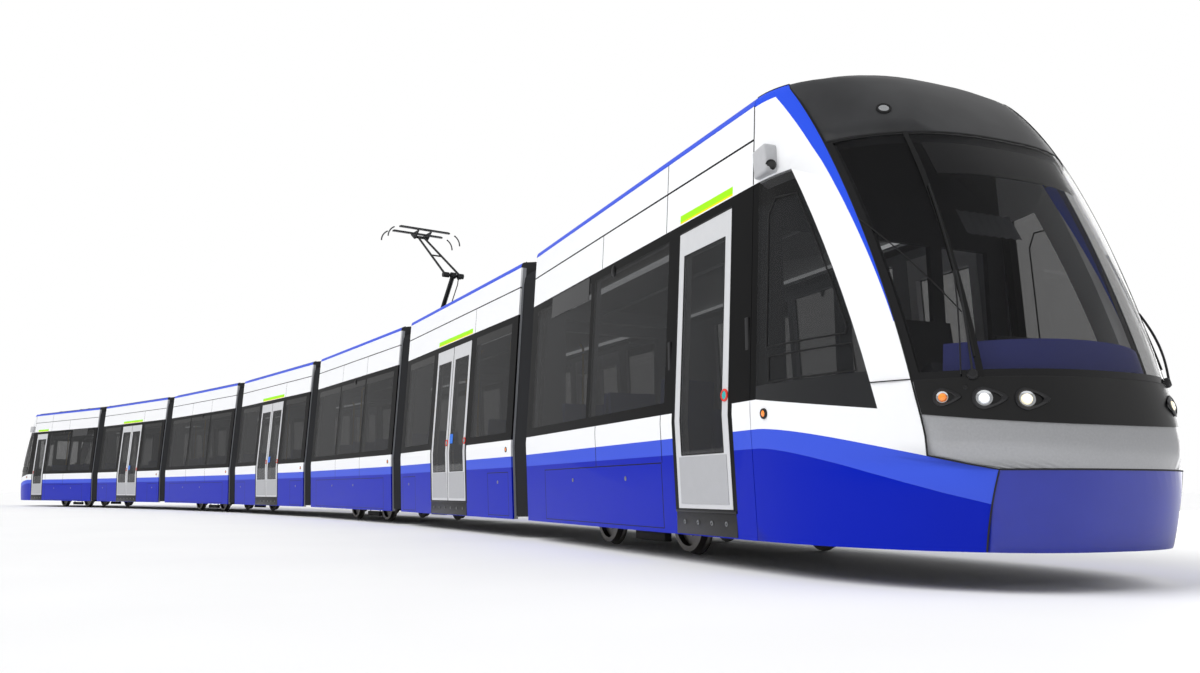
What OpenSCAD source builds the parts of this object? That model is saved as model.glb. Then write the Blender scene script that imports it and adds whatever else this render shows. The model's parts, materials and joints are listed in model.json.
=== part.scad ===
// Seven-section low-floor tram at half size, standing in a gentle right-hand curve.
// X runs towards the front cab, Y to the tram's left, Z up. Sections are numbered from the front.
// Every local height is measured above the rail head, and the wheel flanges reach below it.
// A car's own frame has its X along the car, with zero at the car's rear end face.

/* [Train] */
// Length of a middle car between its end faces
car_len = 2500; // [2300:10:3000]
// Length of a cab car from its gangway face to the tip of its nose
cab_len = 3535; // [3400:5:3900]
// Gap between the end faces of two cars, on the centreline
gap = 330; // [280:5:400]
// Angle between two neighbouring cars as the tram stands
bend = 5; // [0:0.5:7]

/* [Body shell] */
// Half of the body's width at the waist
half_w = 662; // [600:1:780]
// How much narrower each side is at the skirt's lower edge
skirt_tuck = 21; // [0:1:40]
// How much narrower each side is at the eaves
eaves_tuck = 57; // [0:1:90]
// Height of the skirt's lower edge
skirt_z = 100; // [80:1:130]
// Height of the waist, where the body is widest
waist_z = 555; // [500:1:580]
// Height of the window band's lower edge
sill_z = 592; // [585:1:640]
// Height of the window band's upper edge
head_z = 1398; // [1380:1:1440]
// Height of the eaves, where the side walls end
eaves_z = 1712; // [1690:1:1740]
// Height of the cove that rounds the roof's edge
cove_h = 36; // [20:1:44]
// How far the cove comes in from the eaves
cove_in = 22; // [12:1:30]
// Height of the roof's crown
crown_z = 1800; // [1790:1:1830]
// Height of the lids over the roof's equipment
lid_z = 1812; // [1802:1:1840]
// Thickness of the side walls, the doors and the nose shell
wall_t = 36; // [25:1:45]
// Thickness of the window glass
glass_t = 8; // [5:1:12]
// Length of the portal frame at each car end
portal_l = 60; // [40:1:90]
// Half width of the gangway passage
gangway_w = 430; // [380:1:450]
// Height of the gangway passage's ceiling
gangway_z = 1320; // [1200:5:1350]

/* [Doors] */
// Height of the door leaves' lower edge
door_z = 203; // [200:1:240]
// Height of the door leaves' upper edge
door_top = 1355; // [1340:1:1380]
// Width of one leaf of a double door
leaf_w = 390; // [340:1:440]
// Width of the single leaf beside a cab
cab_leaf_w = 440; // [400:1:480]
// Distance from the cab seam to the cab door
cab_door_back = 150; // [110:1:170]
// Width of the frame around the glass of a leaf
leaf_frame = 48; // [35:1:60]
// Height of the closed panel at the foot of a leaf
leaf_kick = 212; // [90:1:260]
// Height of the frame over the glass of a leaf
leaf_head = 104; // [40:1:130]
// Clearance beside each leaf
leaf_gap = 3; // [2:1:5]

/* [Windows] */
// Height of the side glass above the window band's lower edge
glass_rise = 50; // [30:1:80]
// Width of the pillar between two windows
pillar_w = 44; // [30:1:70]
// Distance from a car's end face to its first window
end_pillar = 100; // [95:1:130]

/* [Floor and seats] */
// Height of the low floor's upper side
floor_z = 190; // [180:1:200]
// Thickness of the floor
floor_t = 36; // [30:1:38]
// Height of the floor over a bogie
bogie_floor_z = 235; // [234:1:250]
// Height of the wheel boxes that carry seats
box_z = 345; // [340:1:370]
// Height of a seat's cushion
seat_z = 430; // [410:1:460]
// Height of a seat's back
seat_top = 760; // [700:5:820]
// Width of a double seat
seat_w = 250; // [200:1:260]
// Depth of a seat's cushion
seat_d = 215; // [190:1:230]

/* [Running gear] */
// Radius of the wheel tread
wheel_r = 150; // [140:1:152]
// Height of the flange above the tread
flange_h = 14; // [10:1:15]
// Half of the track gauge
half_gauge = 359; // [340:1:365]
// Width of the wheel's rim, from the flange's back
rim_w = 52; // [45:1:56]
// Distance between the two axles of a bogie
wheelbase = 925; // [850:5:960]
// Radius of the axle between the wheels
axle_r = 32; // [25:1:34]
// Radius of the journals at the axle's ends
journal_r = 22; // [18:1:25]
// Radial running clearance of the journals and of the knuckle pins
running_c = 0.05; // [0.02:0.01:0.09]
// Distance from a cab car's gangway face to its bogie's centre
cab_bogie_x = 1100; // [1060:5:1140]

/* [Knuckles] */
// Radius of a knuckle's pin
knuckle_r = 34; // [25:1:40]
// Radius of the lugs around the pin
lug_r = 72; // [60:1:80]
// Thickness of a knuckle's middle lug
lug_t = 24; // [18:1:26]
// Height of the middle lug's lower side
lug_z = 112; // [108:1:116]
// Clearance between parts that move past each other
move_c = 6; // [5:1:8]

/* [Bellows] */
// How far the bellows stand in from the cars' sides
bellows_in = 26; // [18:1:40]
// Thickness of the bellows' pleats
bellows_t = 34; // [24:1:40]
// Width of the hoop in the middle of the bellows
hoop_l = 18; // [12:1:24]
// How far the hoop stands proud of the pleats on both faces
hoop_proud = 5; // [3:1:8]
// Gap between a sleeve and its car's end face, which the clamped seal fills
seal_gap = 0.5; // [0.2:0.1:1]

/* [Nose] */
// Distance from a cab car's gangway face to the seam where the nose begins
seam_x = 2560; // [2500:5:2620]
// Height of the dome's crown
dome_crown_z = 1885; // [1850:5:1900]
// Reach of the dome's rise from the roof to its own crown, in front of the seam
dome_rise = 440; // [300:10:500]
// Height at which the nose reaches furthest forward
tip_z = 420; // [380:5:460]
// Roundness of the nose in plan, across the car
nose_across = 2.6; // [2.2:0.1:3.4]
// Roundness of the nose in plan, along the car
nose_along = 2.1; // [1.8:0.1:2.6]
// Roundness of the windscreen in side view, at the foot
rake_foot = 1.2; // [1.1:0.05:2.2]
// Roundness of the windscreen in side view, at the crown
rake_crown = 0.47; // [0.4:0.01:0.9]
// How far the bumper's lower edge is tucked back
chin_tuck = 60; // [20:5:100]
// Reach of the white side frames in front of the seam
arch_len = 707; // [640:1:760]
// Roundness of the side frames' edge in side view, at the foot
arch_foot = 1.25; // [1.1:0.05:2.2]
// Roundness of the side frames' edge in side view, at the crown
arch_crown = 0.72; // [0.5:0.01:0.9]
// Width of the side frames beside the cab window's foot
arch_w_foot = 114; // [100:1:130]
// Width of the side frames beside the cab window's head
arch_w_head = 152; // [130:1:170]
// Height of the cab window's lowest corner
window_tip_z = 521; // [500:1:560]
// Gap between the cab car's straight walls and its nose
panel_gap = 3; // [2:1:5]
// Distance from the nose's tip back to the seam between skirt and bumper
bumper_back = 120; // [90:1:160]
// Lean of the seam between skirt and bumper
bumper_lean = 60; // [30:1:90]
// Height of the bumper's upper edge
bumper_z = 333; // [320:1:350]
// Height of the silver band's lower edge where it meets the side frames
band_z = 375; // [360:1:400]
// Height of the windscreen's lower edge
screen_z = 598; // [590:1:620]
// Height of the seam between windscreen and dome
dome_z = 1462; // [1440:1:1500]

/* [Towing lug] */
// Place of the towing bore in the nose, as a share of the nose's length
tow_reach = 0.8; // [0.76:0.01:0.84]
// Height of the towing lug's lower side
tow_z = 118; // [110:1:130]
// Radius of the towing bore
tow_r = 18; // [12:0.5:22]

/* [Pantograph] */
// Distance from the third car's rear end face to the lower arm's pivot
panto_x = 1850; // [1750:5:1900]
// Height of the lower arm's pivot above the roof
panto_rise = 75; // [70:1:100]
// Length of the lower arm
lower_arm_l = 615; // [560:5:640]
// Length of the upper arm
upper_arm_l = 1041; // [980:1:1060]
// Angle of the raised lower arm above the horizontal
lower_arm_a = 50.6; // [40:0.1:58]
// Angle of the raised upper arm above the horizontal
upper_arm_a = 33.9; // [25:0.1:40]
// Radius of the lower arm's tube
lower_tube_r = 22; // [16:1:26]
// Radius of each of the upper arm's tubes
upper_tube_r = 11; // [8:1:14]
// Length of the head's contact strips
strip_l = 560; // [500:5:640]
// Overall width of the head, over its horns
head_w = 800; // [760:5:860]

/* [Hidden] */
$fn = 48;
CARS = 7;
PANTO_CAR = 3;
CAB_CARS = [1, CARS];
DOOR_CARS = [2, 4, 6];
BOGIE_CARS = [1, 3, 5, CARS];
pitch = car_len + gap;
nose_len = cab_len - seam_x;
axle_z = wheel_r;
track_y = half_gauge - 19;
axle_end = 470;
cut = 1;

NODES = concat(
    [for (k = [1:CARS]) each [for (s = ["walls", "roof", "floor", "glazing"]) str("car_", k, "_", s)]],
    [for (k = concat(CAB_CARS, DOOR_CARS)) str("car_", k, "_doors")],
    [for (k = CAB_CARS) each [for (s = ["mask", "windscreen"]) str("car_", k, "_", s)]],
    [for (k = BOGIE_CARS) each [for (s = ["bogie_frame", "front_wheelset", "rear_wheelset"])
        str("car_", k, "_", s)]],
    [for (k = [1:CARS - 1]) str("bellows_", k, "_", k + 1)],
    ["pantograph_base", "pantograph_lower_arm", "pantograph_upper_arm", "pantograph_rod",
        "pantograph_head"]
);
node = "all";

// ---- Where the cars stand ----

function is_cab(k) = k == 1 || k == CARS;
function has_doors(k) = k == 2 || k == 4 || k == 6;
function heading(k) = (k - 4) * bend;
function way(a) = [cos(a), sin(a)];
// The knuckle behind car k, with the middle of car 4 as zero.
function knuckle(k) =
    k == 3 ? [pitch / 2, 0]
    : k < 3 ? knuckle(k + 1) + pitch * way(heading(k + 1))
    : knuckle(k - 1) - pitch * way(heading(k));
function rear_face(k) =
    k == CARS ? knuckle(k - 1) - gap / 2 * way(heading(k)) : knuckle(k) + gap / 2 * way(heading(k));
// Half of the curve's rise, which puts the origin in the middle of the whole tram's width.
// The nose's corner is this share of the half width off the first car's middle line.
nose_corner = 0.77;
bow = (half_w * (1 - nose_corner) - abs(rear_face(1)[1]) - cab_len * sin(3 * bend)) / 2;

// Puts a car's own frame at its place. The last car faces backwards.
module at_car(k) {
    translate([rear_face(k)[0], rear_face(k)[1] - bow, flange_h])
        rotate([0, 0, heading(k) + (k == CARS ? 180 : 0)])
            children();
}

// Puts the knuckle behind car k at zero, with X along car j.
module at_knuckle(k, j) {
    translate([knuckle(k)[0], knuckle(k)[1] - bow, flange_h])
        rotate([0, 0, heading(j)])
            children();
}

// ---- The shell's section ----

function len_of(k) = is_cab(k) ? seam_x : car_len;
function side(z) = lookup(z, [[skirt_z, half_w - skirt_tuck], [waist_z, half_w],
    [eaves_z, half_w - eaves_tuck]]);
cove_z = eaves_z + cove_h;
eaves_w = half_w - eaves_tuck;
// Half width of the whole shell at a height, with the roof's crown at top.
function shell_w(z, top) =
    z <= eaves_z ? side(z)
    : z <= cove_z ? eaves_w - cove_in * (1 - sqrt(1 - pow((z - eaves_z) / cove_h, 2)))
    : (eaves_w - cove_in) * sqrt(max(1 - (z - cove_z) / (top - cove_z), 0));

// Runs a section drawn in Y and Z along the car, from x0 to x1.
module along(x0, x1) {
    translate([x0, 0, 0])
        rotate([90, 0, 90])
            linear_extrude(x1 - x0)
                children();
}

// Runs a side view drawn in X and Z across the car, from y0 to y1.
module across(y0, y1) {
    translate([0, y1, 0])
        rotate([90, 0, 0])
            linear_extrude(y1 - y0)
                children();
}

module both_sides() {
    children();
    mirror([0, 1, 0])
        children();
}

// Section of the left wall's outer skin, t thick, between two heights.
module skin_section(t, z0, z1) {
    outline = concat([[side(z0), z0]], z0 < waist_z && z1 > waist_z ? [[half_w, waist_z]] : [],
        [[side(z1), z1]]);
    last = len(outline) - 1;
    polygon(concat(outline, [for (i = [0:last]) outline[last - i] - [t, 0]]));
}

module side_cut(x0, x1, z0, z1) {
    translate([x0, half_w - 3 * wall_t, z0])
        cube([x1 - x0, 4 * wall_t, z1 - z0]);
}

module box(x0, x1, y0, y1, z0, z1) {
    translate([x0, y0, z0])
        cube([x1 - x0, y1 - y0, z1 - z0]);
}

// ---- Openings along each side ----

cab_door_x = seam_x - cab_door_back - cab_leaf_w;
glass_z0 = sill_z + glass_rise;
glass_z1 = head_z - pillar_w;
// Start and end of each door leaf.
function leaves(k) =
    is_cab(k) ? [[cab_door_x, cab_door_x + cab_leaf_w]]
    : has_doors(k) ? [for (s = [-1, 0]) [car_len / 2 + s * leaf_w, car_len / 2 + (s + 1) * leaf_w]]
    : [];
function door_ends(k) = [leaves(k)[0][0], leaves(k)[len(leaves(k)) - 1][1]];
// Start and end of each side window.
function windows(k) =
    is_cab(k) ? split_run(end_pillar, cab_door_x - end_pillar, 2)
    : has_doors(k) ? [[end_pillar, door_ends(k)[0] - end_pillar],
        [door_ends(k)[1] + end_pillar, car_len - end_pillar]]
    : split_run(end_pillar, car_len - end_pillar, 3);
function split_run(a, b, n) = [for (i = [0:n - 1]) let (w = (b - a + pillar_w) / n)
    [a + i * w, a + (i + 1) * w - pillar_w]];

// ---- Nose ----
// The nose is one curved grid. Its rows go up, and its columns go from the left seam round the
// front to the right seam, so that its panels share their edges.

nose_top = dome_crown_z;
bumper_x = cab_len - bumper_back;
arch_cols = 8;
front_cols = 20;
nose_cols = 2 * arch_cols + front_cols;
window_rows = 8;
brow_rows = 4;
cove_rows = 3;
crown_rows = 8;
levels = concat(
    [for (i = [0:2]) skirt_z + (bumper_z - skirt_z) * i / 3],
    [bumper_z, band_z, tip_z, tip_z + 50],
    [for (i = [0:window_rows - 1]) screen_z + (head_z - screen_z) * i / window_rows],
    [head_z],
    [for (i = [0:brow_rows - 1]) dome_z + (eaves_z - dome_z) * i / brow_rows],
    [for (i = [0:cove_rows]) eaves_z + cove_h * sin(90 * i / (cove_rows + 1))],
    [for (i = [0:crown_rows - 1]) cove_z + (nose_top - cove_z) * (1 - pow(1 - i / crown_rows, 2))],
    [nose_top - 0.8]);
nose_rows = len(levels);
sill_row = 7;
head_row = sill_row + window_rows;
dome_row = head_row + 1;
cove_row = dome_row + brow_rows + cove_rows + 1;

function rise(z) = (max(z, tip_z) - tip_z) / (nose_top - tip_z);
function rake(z, foot, crown) = pow(1 - pow(rise(z), foot), crown);
function nose_reach(z) =
    z <= tip_z ? nose_len - chin_tuck * pow((tip_z - z) / (tip_z - skirt_z), 2)
    : nose_len * rake(z, rake_foot, rake_crown);
// X of the white frames' front edge, and of the bumper's seam below it.
function arch_x(z) = seam_x + arch_len * rake(z, arch_foot, arch_crown);
function front_x(z) =
    z < bumper_z ? bumper_x - bumper_lean * (bumper_z - z) / (bumper_z - skirt_z)
    : z < band_z ? bumper_x + (arch_x(band_z) - bumper_x) * (z - bumper_z) / (band_z - bumper_z)
    : z < cove_z ? arch_x(z)
    : seam_x + (arch_x(cove_z) - seam_x) * nose_reach(z) / nose_reach(cove_z);
function arch_w(z) =
    arch_w_foot + (arch_w_head - arch_w_foot) * (z - window_tip_z) / (head_z - window_tip_z);
// Edges of the cab's side window.
function window_x(z) = arch_x(z) - arch_w(z);
window_x0 = seam_x + 40;
function sill(x) =
    sill_z + (window_tip_z - sill_z) * (x - window_x0) / (window_x(window_tip_z) - window_x0);

// X and Z of a grid point on a side frame, where column 0 is at the seam.
function frame_point(r, c) =
    c == 0 ? [seam_x + panel_gap, r == sill_row ? sill_z : levels[r]]
    : c == arch_cols ? [front_x(levels[r]), levels[r]]
    : let (span = (c - 1) / (arch_cols - 2))
        r == sill_row ? let (x = window_x0 + (window_x(window_tip_z) - window_x0) * span) [x, sill(x)]
        : r > sill_row && r <= head_row ? [window_x0 + (window_x(levels[r]) - window_x0) * span, levels[r]]
        : [seam_x + panel_gap + (front_x(levels[r]) - seam_x - panel_gap) * c / arch_cols, levels[r]];
// Angle in plan of a point, from the tip's direction.
function plan_angle(x, z) = acos(pow((x - seam_x) / nose_reach(z), nose_along / 2));
// The dome starts at the roof's crown and rises to its own in front of the seam.
dome_drop = 1 - (crown_z - cove_z) / (nose_top - cove_z);
function lift(z, x) = z <= cove_z ? z
    : cove_z + (z - cove_z) * (1 - dome_drop * pow(1 - min(max((x - seam_x) / dome_rise, 0), 1), 2));
// The point at an angle in plan, set in by t from the outer skin.
function skin_point(z, a, t) = let (
    level = z - t * max(z - tip_z, 0) / (nose_top - tip_z),
    x = seam_x + max(nose_reach(z) - t, 2) * pow(cos(a), 2 / nose_along),
    y = max(shell_w(z, nose_top) - t, 6) * pow(sin(a), 2 / nose_across))
    [x, y, lift(level, x)];
// Grid point of the left half, up to the middle column.
function half_point(r, c, t) =
    c <= arch_cols ? let (p = frame_point(r, c)) skin_point(p[1], plan_angle(p[0], p[1]), t)
    : let (z = levels[r], a = plan_angle(front_x(z), z))
        skin_point(z, a * (1 - 2 * (c - arch_cols) / front_cols), t);
function grid_point(r, c, t) =
    r == nose_rows ? let (p = grid_point(r - 1, c, t)) [seam_x + panel_gap, 0.9 * p[1], p[2]]
    : 2 * c <= nose_cols ? half_point(r, c, t)
    : let (p = half_point(r, nose_cols - c, t)) [p[0], -p[1], p[2]];

// A closed panel, t thick, of the grid's cells that keep(row, column) picks.
module nose_panel(t, keep) {
    width = nose_cols + 1;
    depth = (nose_rows + 1) * width;
    // A thick panel has a ring of points at the glass's depth, so that its rim fits the glass's.
    layers = t > glass_t ? [0, glass_t, t] : [0, t];
    back = (len(layers) - 1) * depth;
    inside = function(r, c) r >= 0 && r < nose_rows && c >= 0 && c < nose_cols && keep(r, c);
    // Two neighbours split their shared rim along the same diagonal.
    rim = function(p, q) [for (i = [0:depth:back - 1]) each let (u = p + i, v = q + i)
        p < q ? [[v, u, u + depth], [v, u + depth, v + depth]]
        : [[v, u, v + depth], [u, u + depth, v + depth]]];
    polyhedron(
        [for (d = layers, r = [0:nose_rows], c = [0:nose_cols]) grid_point(r, c, d)],
        [for (r = [0:nose_rows - 1], c = [0:nose_cols - 1]) if (inside(r, c))
            each let (a = r * width + c, b = a + 1, d = a + width, e = d + 1) concat(
                [[a, b, e], [a, e, d]],
                [[a + back, e + back, b + back], [a + back, d + back, e + back]],
                inside(r - 1, c) ? [] : rim(a, b),
                inside(r, c + 1) ? [] : rim(b, e),
                inside(r + 1, c) ? [] : rim(e, d),
                inside(r, c - 1) ? [] : rim(d, a))]);
}

function in_window(r, c) = r >= sill_row && r < head_row && c >= 1 && c < arch_cols - 1;
// The left column that a column mirrors, for the panels that have a twin on the right.
function twin_col(c, right) = right ? nose_cols - 1 - c : c;
function in_front(c) = c >= arch_cols && c < nose_cols - arch_cols;

// ---- Car bodies ----

module portal(x) {
    along(x, x + portal_l) {
        both_sides_2d()
            polygon([[gangway_w, floor_z], [side(floor_z) - wall_t / 2, floor_z],
                [half_w - wall_t / 2, waist_z], [side(head_z) - wall_t / 2, head_z],
                [gangway_w, head_z]]);
        translate([-gangway_w, gangway_z])
            square([2 * gangway_w, head_z - gangway_z]);
    }
}

module both_sides_2d() {
    children();
    mirror([1, 0])
        children();
}

module straight_walls(k) {
    both_sides()
        difference() {
            along(0, len_of(k))
                skin_section(wall_t, skirt_z, eaves_z);
            for (w = windows(k))
                side_cut(w[0], w[1], glass_z0, glass_z1);
            if (len(leaves(k)) > 0)
                side_cut(door_ends(k)[0], door_ends(k)[1], door_z, door_top);
        }
    portal(0);
    if (!is_cab(k))
        portal(len_of(k) - portal_l);
}

// The white frames beside the windscreen, with the cab's side windows left open.
module cab_frames() {
    for (right = [false, true])
        nose_panel(wall_t, function(r, c) let (m = twin_col(c, right))
            m < arch_cols && r < cove_row && !in_window(r, m));
}

module walls(k) {
    color("white")
        at_car(k) {
            straight_walls(k);
            if (is_cab(k))
                cab_frames();
        }
}

module roof_section() {
    steps = 16;
    outer = [for (i = [0:steps]) let (z = eaves_z + cove_h * sin(90 * i / steps))
        [shell_w(z, crown_z), z]];
    crown = [for (i = [1:steps]) let (y = (eaves_w - cove_in) * (1 - i / steps))
        [y, crown_z - (crown_z - cove_z) * pow(y / (eaves_w - cove_in), 2)]];
    inner = side(head_z) - wall_t;
    half = concat([[inner, head_z], [eaves_w - wall_t, eaves_z]], outer, crown);
    last = len(half) - 1;
    polygon(concat(half, [for (i = [1:last]) [-half[last - i][0], half[last - i][1]]]));
}

// Lids over the equipment in the roof.
module roof_lids(k) {
    lid_w = 290;
    n = 2;
    run = (len_of(k) - 240) / n;
    for (i = [0:n - 1])
        box(120 + i * run + 30, 120 + (i + 1) * run - 30, -lid_w, lid_w, crown_z - 40, lid_z);
}

module dome() {
    nose_panel(wall_t, function(r, c) r >= cove_row || (r >= dome_row && in_front(c)));
}

module roof(k) {
    color("dimgray")
        at_car(k) {
            along(0, len_of(k))
                roof_section();
            if (k != PANTO_CAR)
                roof_lids(k);
            if (is_cab(k))
                dome();
        }
}

module pane(x0, x1, z0, z1) {
    both_sides()
        intersection() {
            along(x0, x1)
                skin_section(glass_t, z0, z1);
            side_cut(x0, x1, z0, z1);
        }
}

module cab_windows() {
    for (right = [false, true])
        nose_panel(glass_t, function(r, c) in_window(r, twin_col(c, right)));
}

module windscreen(k) {
    color([0.2, 0.22, 0.24, 0.5])
        at_car(k)
            nose_panel(glass_t, function(r, c) r >= sill_row && r < dome_row && in_front(c));
}

module glazing(k) {
    color([0.2, 0.22, 0.24, 0.5])
        at_car(k) {
            for (w = windows(k))
                pane(w[0], w[1], glass_z0, glass_z1);
            for (d = leaves(k))
                pane(d[0] + leaf_gap + leaf_frame, d[1] - leaf_gap - leaf_frame,
                    door_z + leaf_kick, door_top - leaf_head);
            if (is_cab(k))
                cab_windows();
        }
}

module doors(k) {
    color("whitesmoke")
        at_car(k)
            for (d = leaves(k))
                both_sides()
                    difference() {
                        along(d[0] + leaf_gap, d[1] - leaf_gap)
                            skin_section(wall_t, door_z, door_top);
                        side_cut(d[0] + leaf_gap + leaf_frame, d[1] - leaf_gap - leaf_frame,
                            door_z + leaf_kick, door_top - leaf_head);
                    }
}

// ---- Floor, seats and knuckles ----

floor_half = side(skirt_z) - wall_t;
function bogie_x(k) = is_cab(k) ? cab_bogie_x : car_len / 2;
bogie_reach = wheelbase / 2 + wheel_r + flange_h + 40;

// Side view of the floor, which rises over a bogie.
module floor_view(k) {
    low = floor_z - floor_t;
    rise = bogie_floor_z - floor_z;
    x0 = bogie_x(k) - bogie_reach;
    x1 = bogie_x(k) + bogie_reach;
    ramp = 140;
    end = len_of(k);
    if (has_doors(k))
        translate([0, low])
            square([end, floor_t]);
    else
        polygon([[0, low], [x0 - ramp / 2, low], [x0, low + rise], [x1, low + rise],
            [x1 + ramp / 2, low], [end, low], [end, floor_z], [x1 + ramp, floor_z],
            [x1, bogie_floor_z], [x0, bogie_floor_z], [x0 - ramp, floor_z], [0, floor_z]]);
}

// A double seat, facing forwards or backwards, on a foot that reaches down to z0.
module seat(x, y, z0, turned) {
    translate([x, y, 0])
        mirror([turned ? 1 : 0, 0, 0])
            across(0, seat_w)
                polygon([[-seat_d / 2, z0], [seat_d / 4, z0], [seat_d / 2, seat_z], [-seat_d / 3, seat_z],
                    [-seat_d / 2 - 20, seat_top], [-seat_d / 2 - 50, seat_top], [-seat_d / 2, seat_z - 60]]);
}

module seat_rows(xs, z0) {
    both_sides()
        for (i = [0:len(xs) - 1])
            seat(xs[i], floor_half - seat_w - 10, z0, i % 2 == 1);
}

module wheel_boxes(k) {
    box_w = 310;
    both_sides()
        difference() {
            box(bogie_x(k) - bogie_reach, bogie_x(k) + bogie_reach, floor_half - box_w, floor_half,
                bogie_floor_z - 1, box_z);
            wheel_pockets(k);
        }
}

module wheel_pockets(k) {
    pocket = wheel_r + flange_h + 12;
    for (s = [-1, 1])
        box(bogie_x(k) + s * wheelbase / 2 - pocket, bogie_x(k) + s * wheelbase / 2 + pocket,
            track_y - 28, track_y + rim_w + 14, 0, axle_z + pocket);
}

// The knuckle's fork behind a car, its pin and the gangway's turntable.
module fork() {
    plate_t = 10;
    upper = lug_z + lug_t + move_c;
    lug_arm(lug_z - move_c - plate_t, plate_t);
    lug_arm(upper, floor_z - floor_t - upper);
    box(gap / 2, gap / 2 + 60, -lug_r, lug_r, lug_z - move_c - plate_t, floor_z - floor_t + 1);
    translate([0, 0, floor_z - floor_t - cut])
        cylinder(h = floor_t - plate_t * 2 + 2 * cut, r = lug_r - 12);
    translate([0, 0, floor_z - plate_t * 2])
        cylinder(h = plate_t * 2, r = gangway_w);
    translate([0, 0, lug_z - move_c - cut])
        cylinder(h = lug_t + 2 * move_c + 2 * cut, r = knuckle_r - running_c);
}

module lug_arm(z, t) {
    translate([0, 0, z]) {
        cylinder(h = t, r = lug_r);
        translate([0, -lug_r, 0])
            cube([gap / 2 + cut, 2 * lug_r, t]);
    }
}

// The tongue at a car's front, which turns on the pin of the car ahead.
module tongue() {
    reach = gap / 2;
    difference() {
        union() {
            translate([0, 0, lug_z])
                cylinder(h = lug_t, r = lug_r);
            translate([-reach - 60, -lug_r, lug_z])
                cube([reach + 60, 2 * lug_r, lug_t]);
            translate([-reach - 60, -lug_r, lug_z])
                cube([50, 2 * lug_r, floor_z - floor_t - lug_z + 1]);
        }
        translate([0, 0, lug_z - cut])
            cylinder(h = lug_t + 2 * cut, r = knuckle_r);
    }
}

module cab_fittings() {
    desk_x = seam_x + 0.62 * nose_len;
    desk_w = 0.66 * half_w;
    front_w = 0.73 * floor_half;
    seat_x = seam_x + 0.32 * nose_len;
    // The driver's floor, one step up.
    translate([0, 0, floor_z - floor_t])
        linear_extrude(floor_t + 40)
            polygon([[seam_x - 10, -floor_half], [desk_x + 60, -front_w],
                [desk_x + 60, front_w], [seam_x - 10, floor_half]]);
    // The desk, with its hood sloping up towards the windscreen.
    across(-desk_w, desk_w)
        polygon([[desk_x - 130, floor_z], [desk_x + 50, floor_z], [desk_x + 90, screen_z + 20],
            [desk_x + 70, screen_z + 60], [desk_x - 150, screen_z - 40]]);
    // The towing lug, with an upright bore for a drawbar's pin.
    tow_x = seam_x + tow_reach * nose_len;
    difference() {
        union() {
            box(desk_x, tow_x, -45, 45, tow_z, floor_z - floor_t + 1);
            translate([tow_x, 0, tow_z])
                cylinder(h = floor_z - floor_t + 1 - tow_z, r = 45);
        }
        translate([tow_x, 0, tow_z - cut])
            cylinder(h = 60, r = tow_r);
    }
    // The driver's seat on its pillar.
    translate([seat_x, 0, floor_z])
        cylinder(h = seat_z - floor_z - 25, r = 45);
    across(-130, 130)
        translate([seat_x, 0])
            polygon([[-110, 395], [130, 395], [140, 450], [-90, 455], [-150, 900], [-195, 900]]);
    // The bulkhead behind the driver, with its doorway and window.
    difference() {
        along(seam_x - 24, seam_x)
            polygon([[-floor_half, floor_z - 1], [floor_half, floor_z - 1],
                [side(head_z) - wall_t, head_z], [wall_t - side(head_z), head_z]]);
        box(seam_x - 60, seam_x + 60, -200, 200, floor_z, 1250);
        both_sides()
            box(seam_x - 60, seam_x + 60, 260, 500, 640, 1250);
    }
}

module floor_of(k) {
    color("slategray")
        difference() {
            union() {
                at_car(k) {
                    difference() {
                        union() {
                            across(-floor_half, floor_half)
                                floor_view(k);
                            end_beams(k);
                        }
                        if (!has_doors(k))
                            both_sides()
                                wheel_pockets(k);
                    }
                    if (!has_doors(k))
                        wheel_boxes(k);
                    seat_rows(seats(k), has_doors(k) ? floor_z - 1 : box_z - 1);
                    if (is_cab(k))
                        cab_fittings();
                }
                if (k < CARS)
                    at_knuckle(k, k)
                        fork();
                if (k > 1)
                    at_knuckle(k - 1, k)
                        tongue();
            }
            if (k > 1)
                at_knuckle(k - 1, k)
                    translate([0, 0, floor_z - 20 - move_c])
                        cylinder(h = 60, r = gangway_w + move_c);
        }
}

function seats(k) =
    has_doors(k) ? [for (x = [260, 700]) each [x, car_len - x]]
    : [for (i = [0:3]) bogie_x(k) + (i - 1.5) * (2 * bogie_reach - seat_d) / 3.4];

// The cross beam under the floor at each car end.
module end_beams(k) {
    low = floor_z - floor_t;
    beam_h = 40;
    for (x = is_cab(k) ? [0] : [0, len_of(k) - portal_l])
        box(x, x + portal_l, -floor_half, floor_half, low - beam_h, low + 1);
}

// ---- Running gear ----

// One end of the wheelset from its middle outwards: distance along the axle, then radius.
function wheelset_outline() = [[0, axle_r + 9], [16, axle_r + 9], [16, axle_r],
    [track_y - 20, axle_r], [track_y - 20, axle_r + 26], [track_y + 14, axle_r + 26],
    [track_y + 14, wheel_r - 28], [track_y, wheel_r - 24], [track_y, wheel_r + flange_h - 4],
    [track_y + 4, wheel_r + flange_h], [track_y + 13, wheel_r + flange_h - 2], [track_y + 19, wheel_r],
    [track_y + rim_w, wheel_r - 2], [track_y + rim_w, wheel_r - 26], [track_y + 30, wheel_r - 30],
    [track_y + 30, axle_r + 22], [track_y + rim_w - 6, axle_r + 14], [track_y + rim_w - 6, journal_r],
    [axle_end, journal_r], [axle_end, 0]];

module wheelset(k, s) {
    half = wheelset_outline();
    n = len(half);
    color("dimgray")
        at_car(k)
            translate([bogie_x(k) + s * wheelbase / 2, 0, axle_z])
                rotate([90, 0, 0])
                    rotate_extrude($fn = 64)
                        polygon(concat([for (p = half) [p[1], p[0]]],
                            [for (i = [n - 1:-1:1]) [half[i][1], -half[i][0]]]));
}

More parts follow.
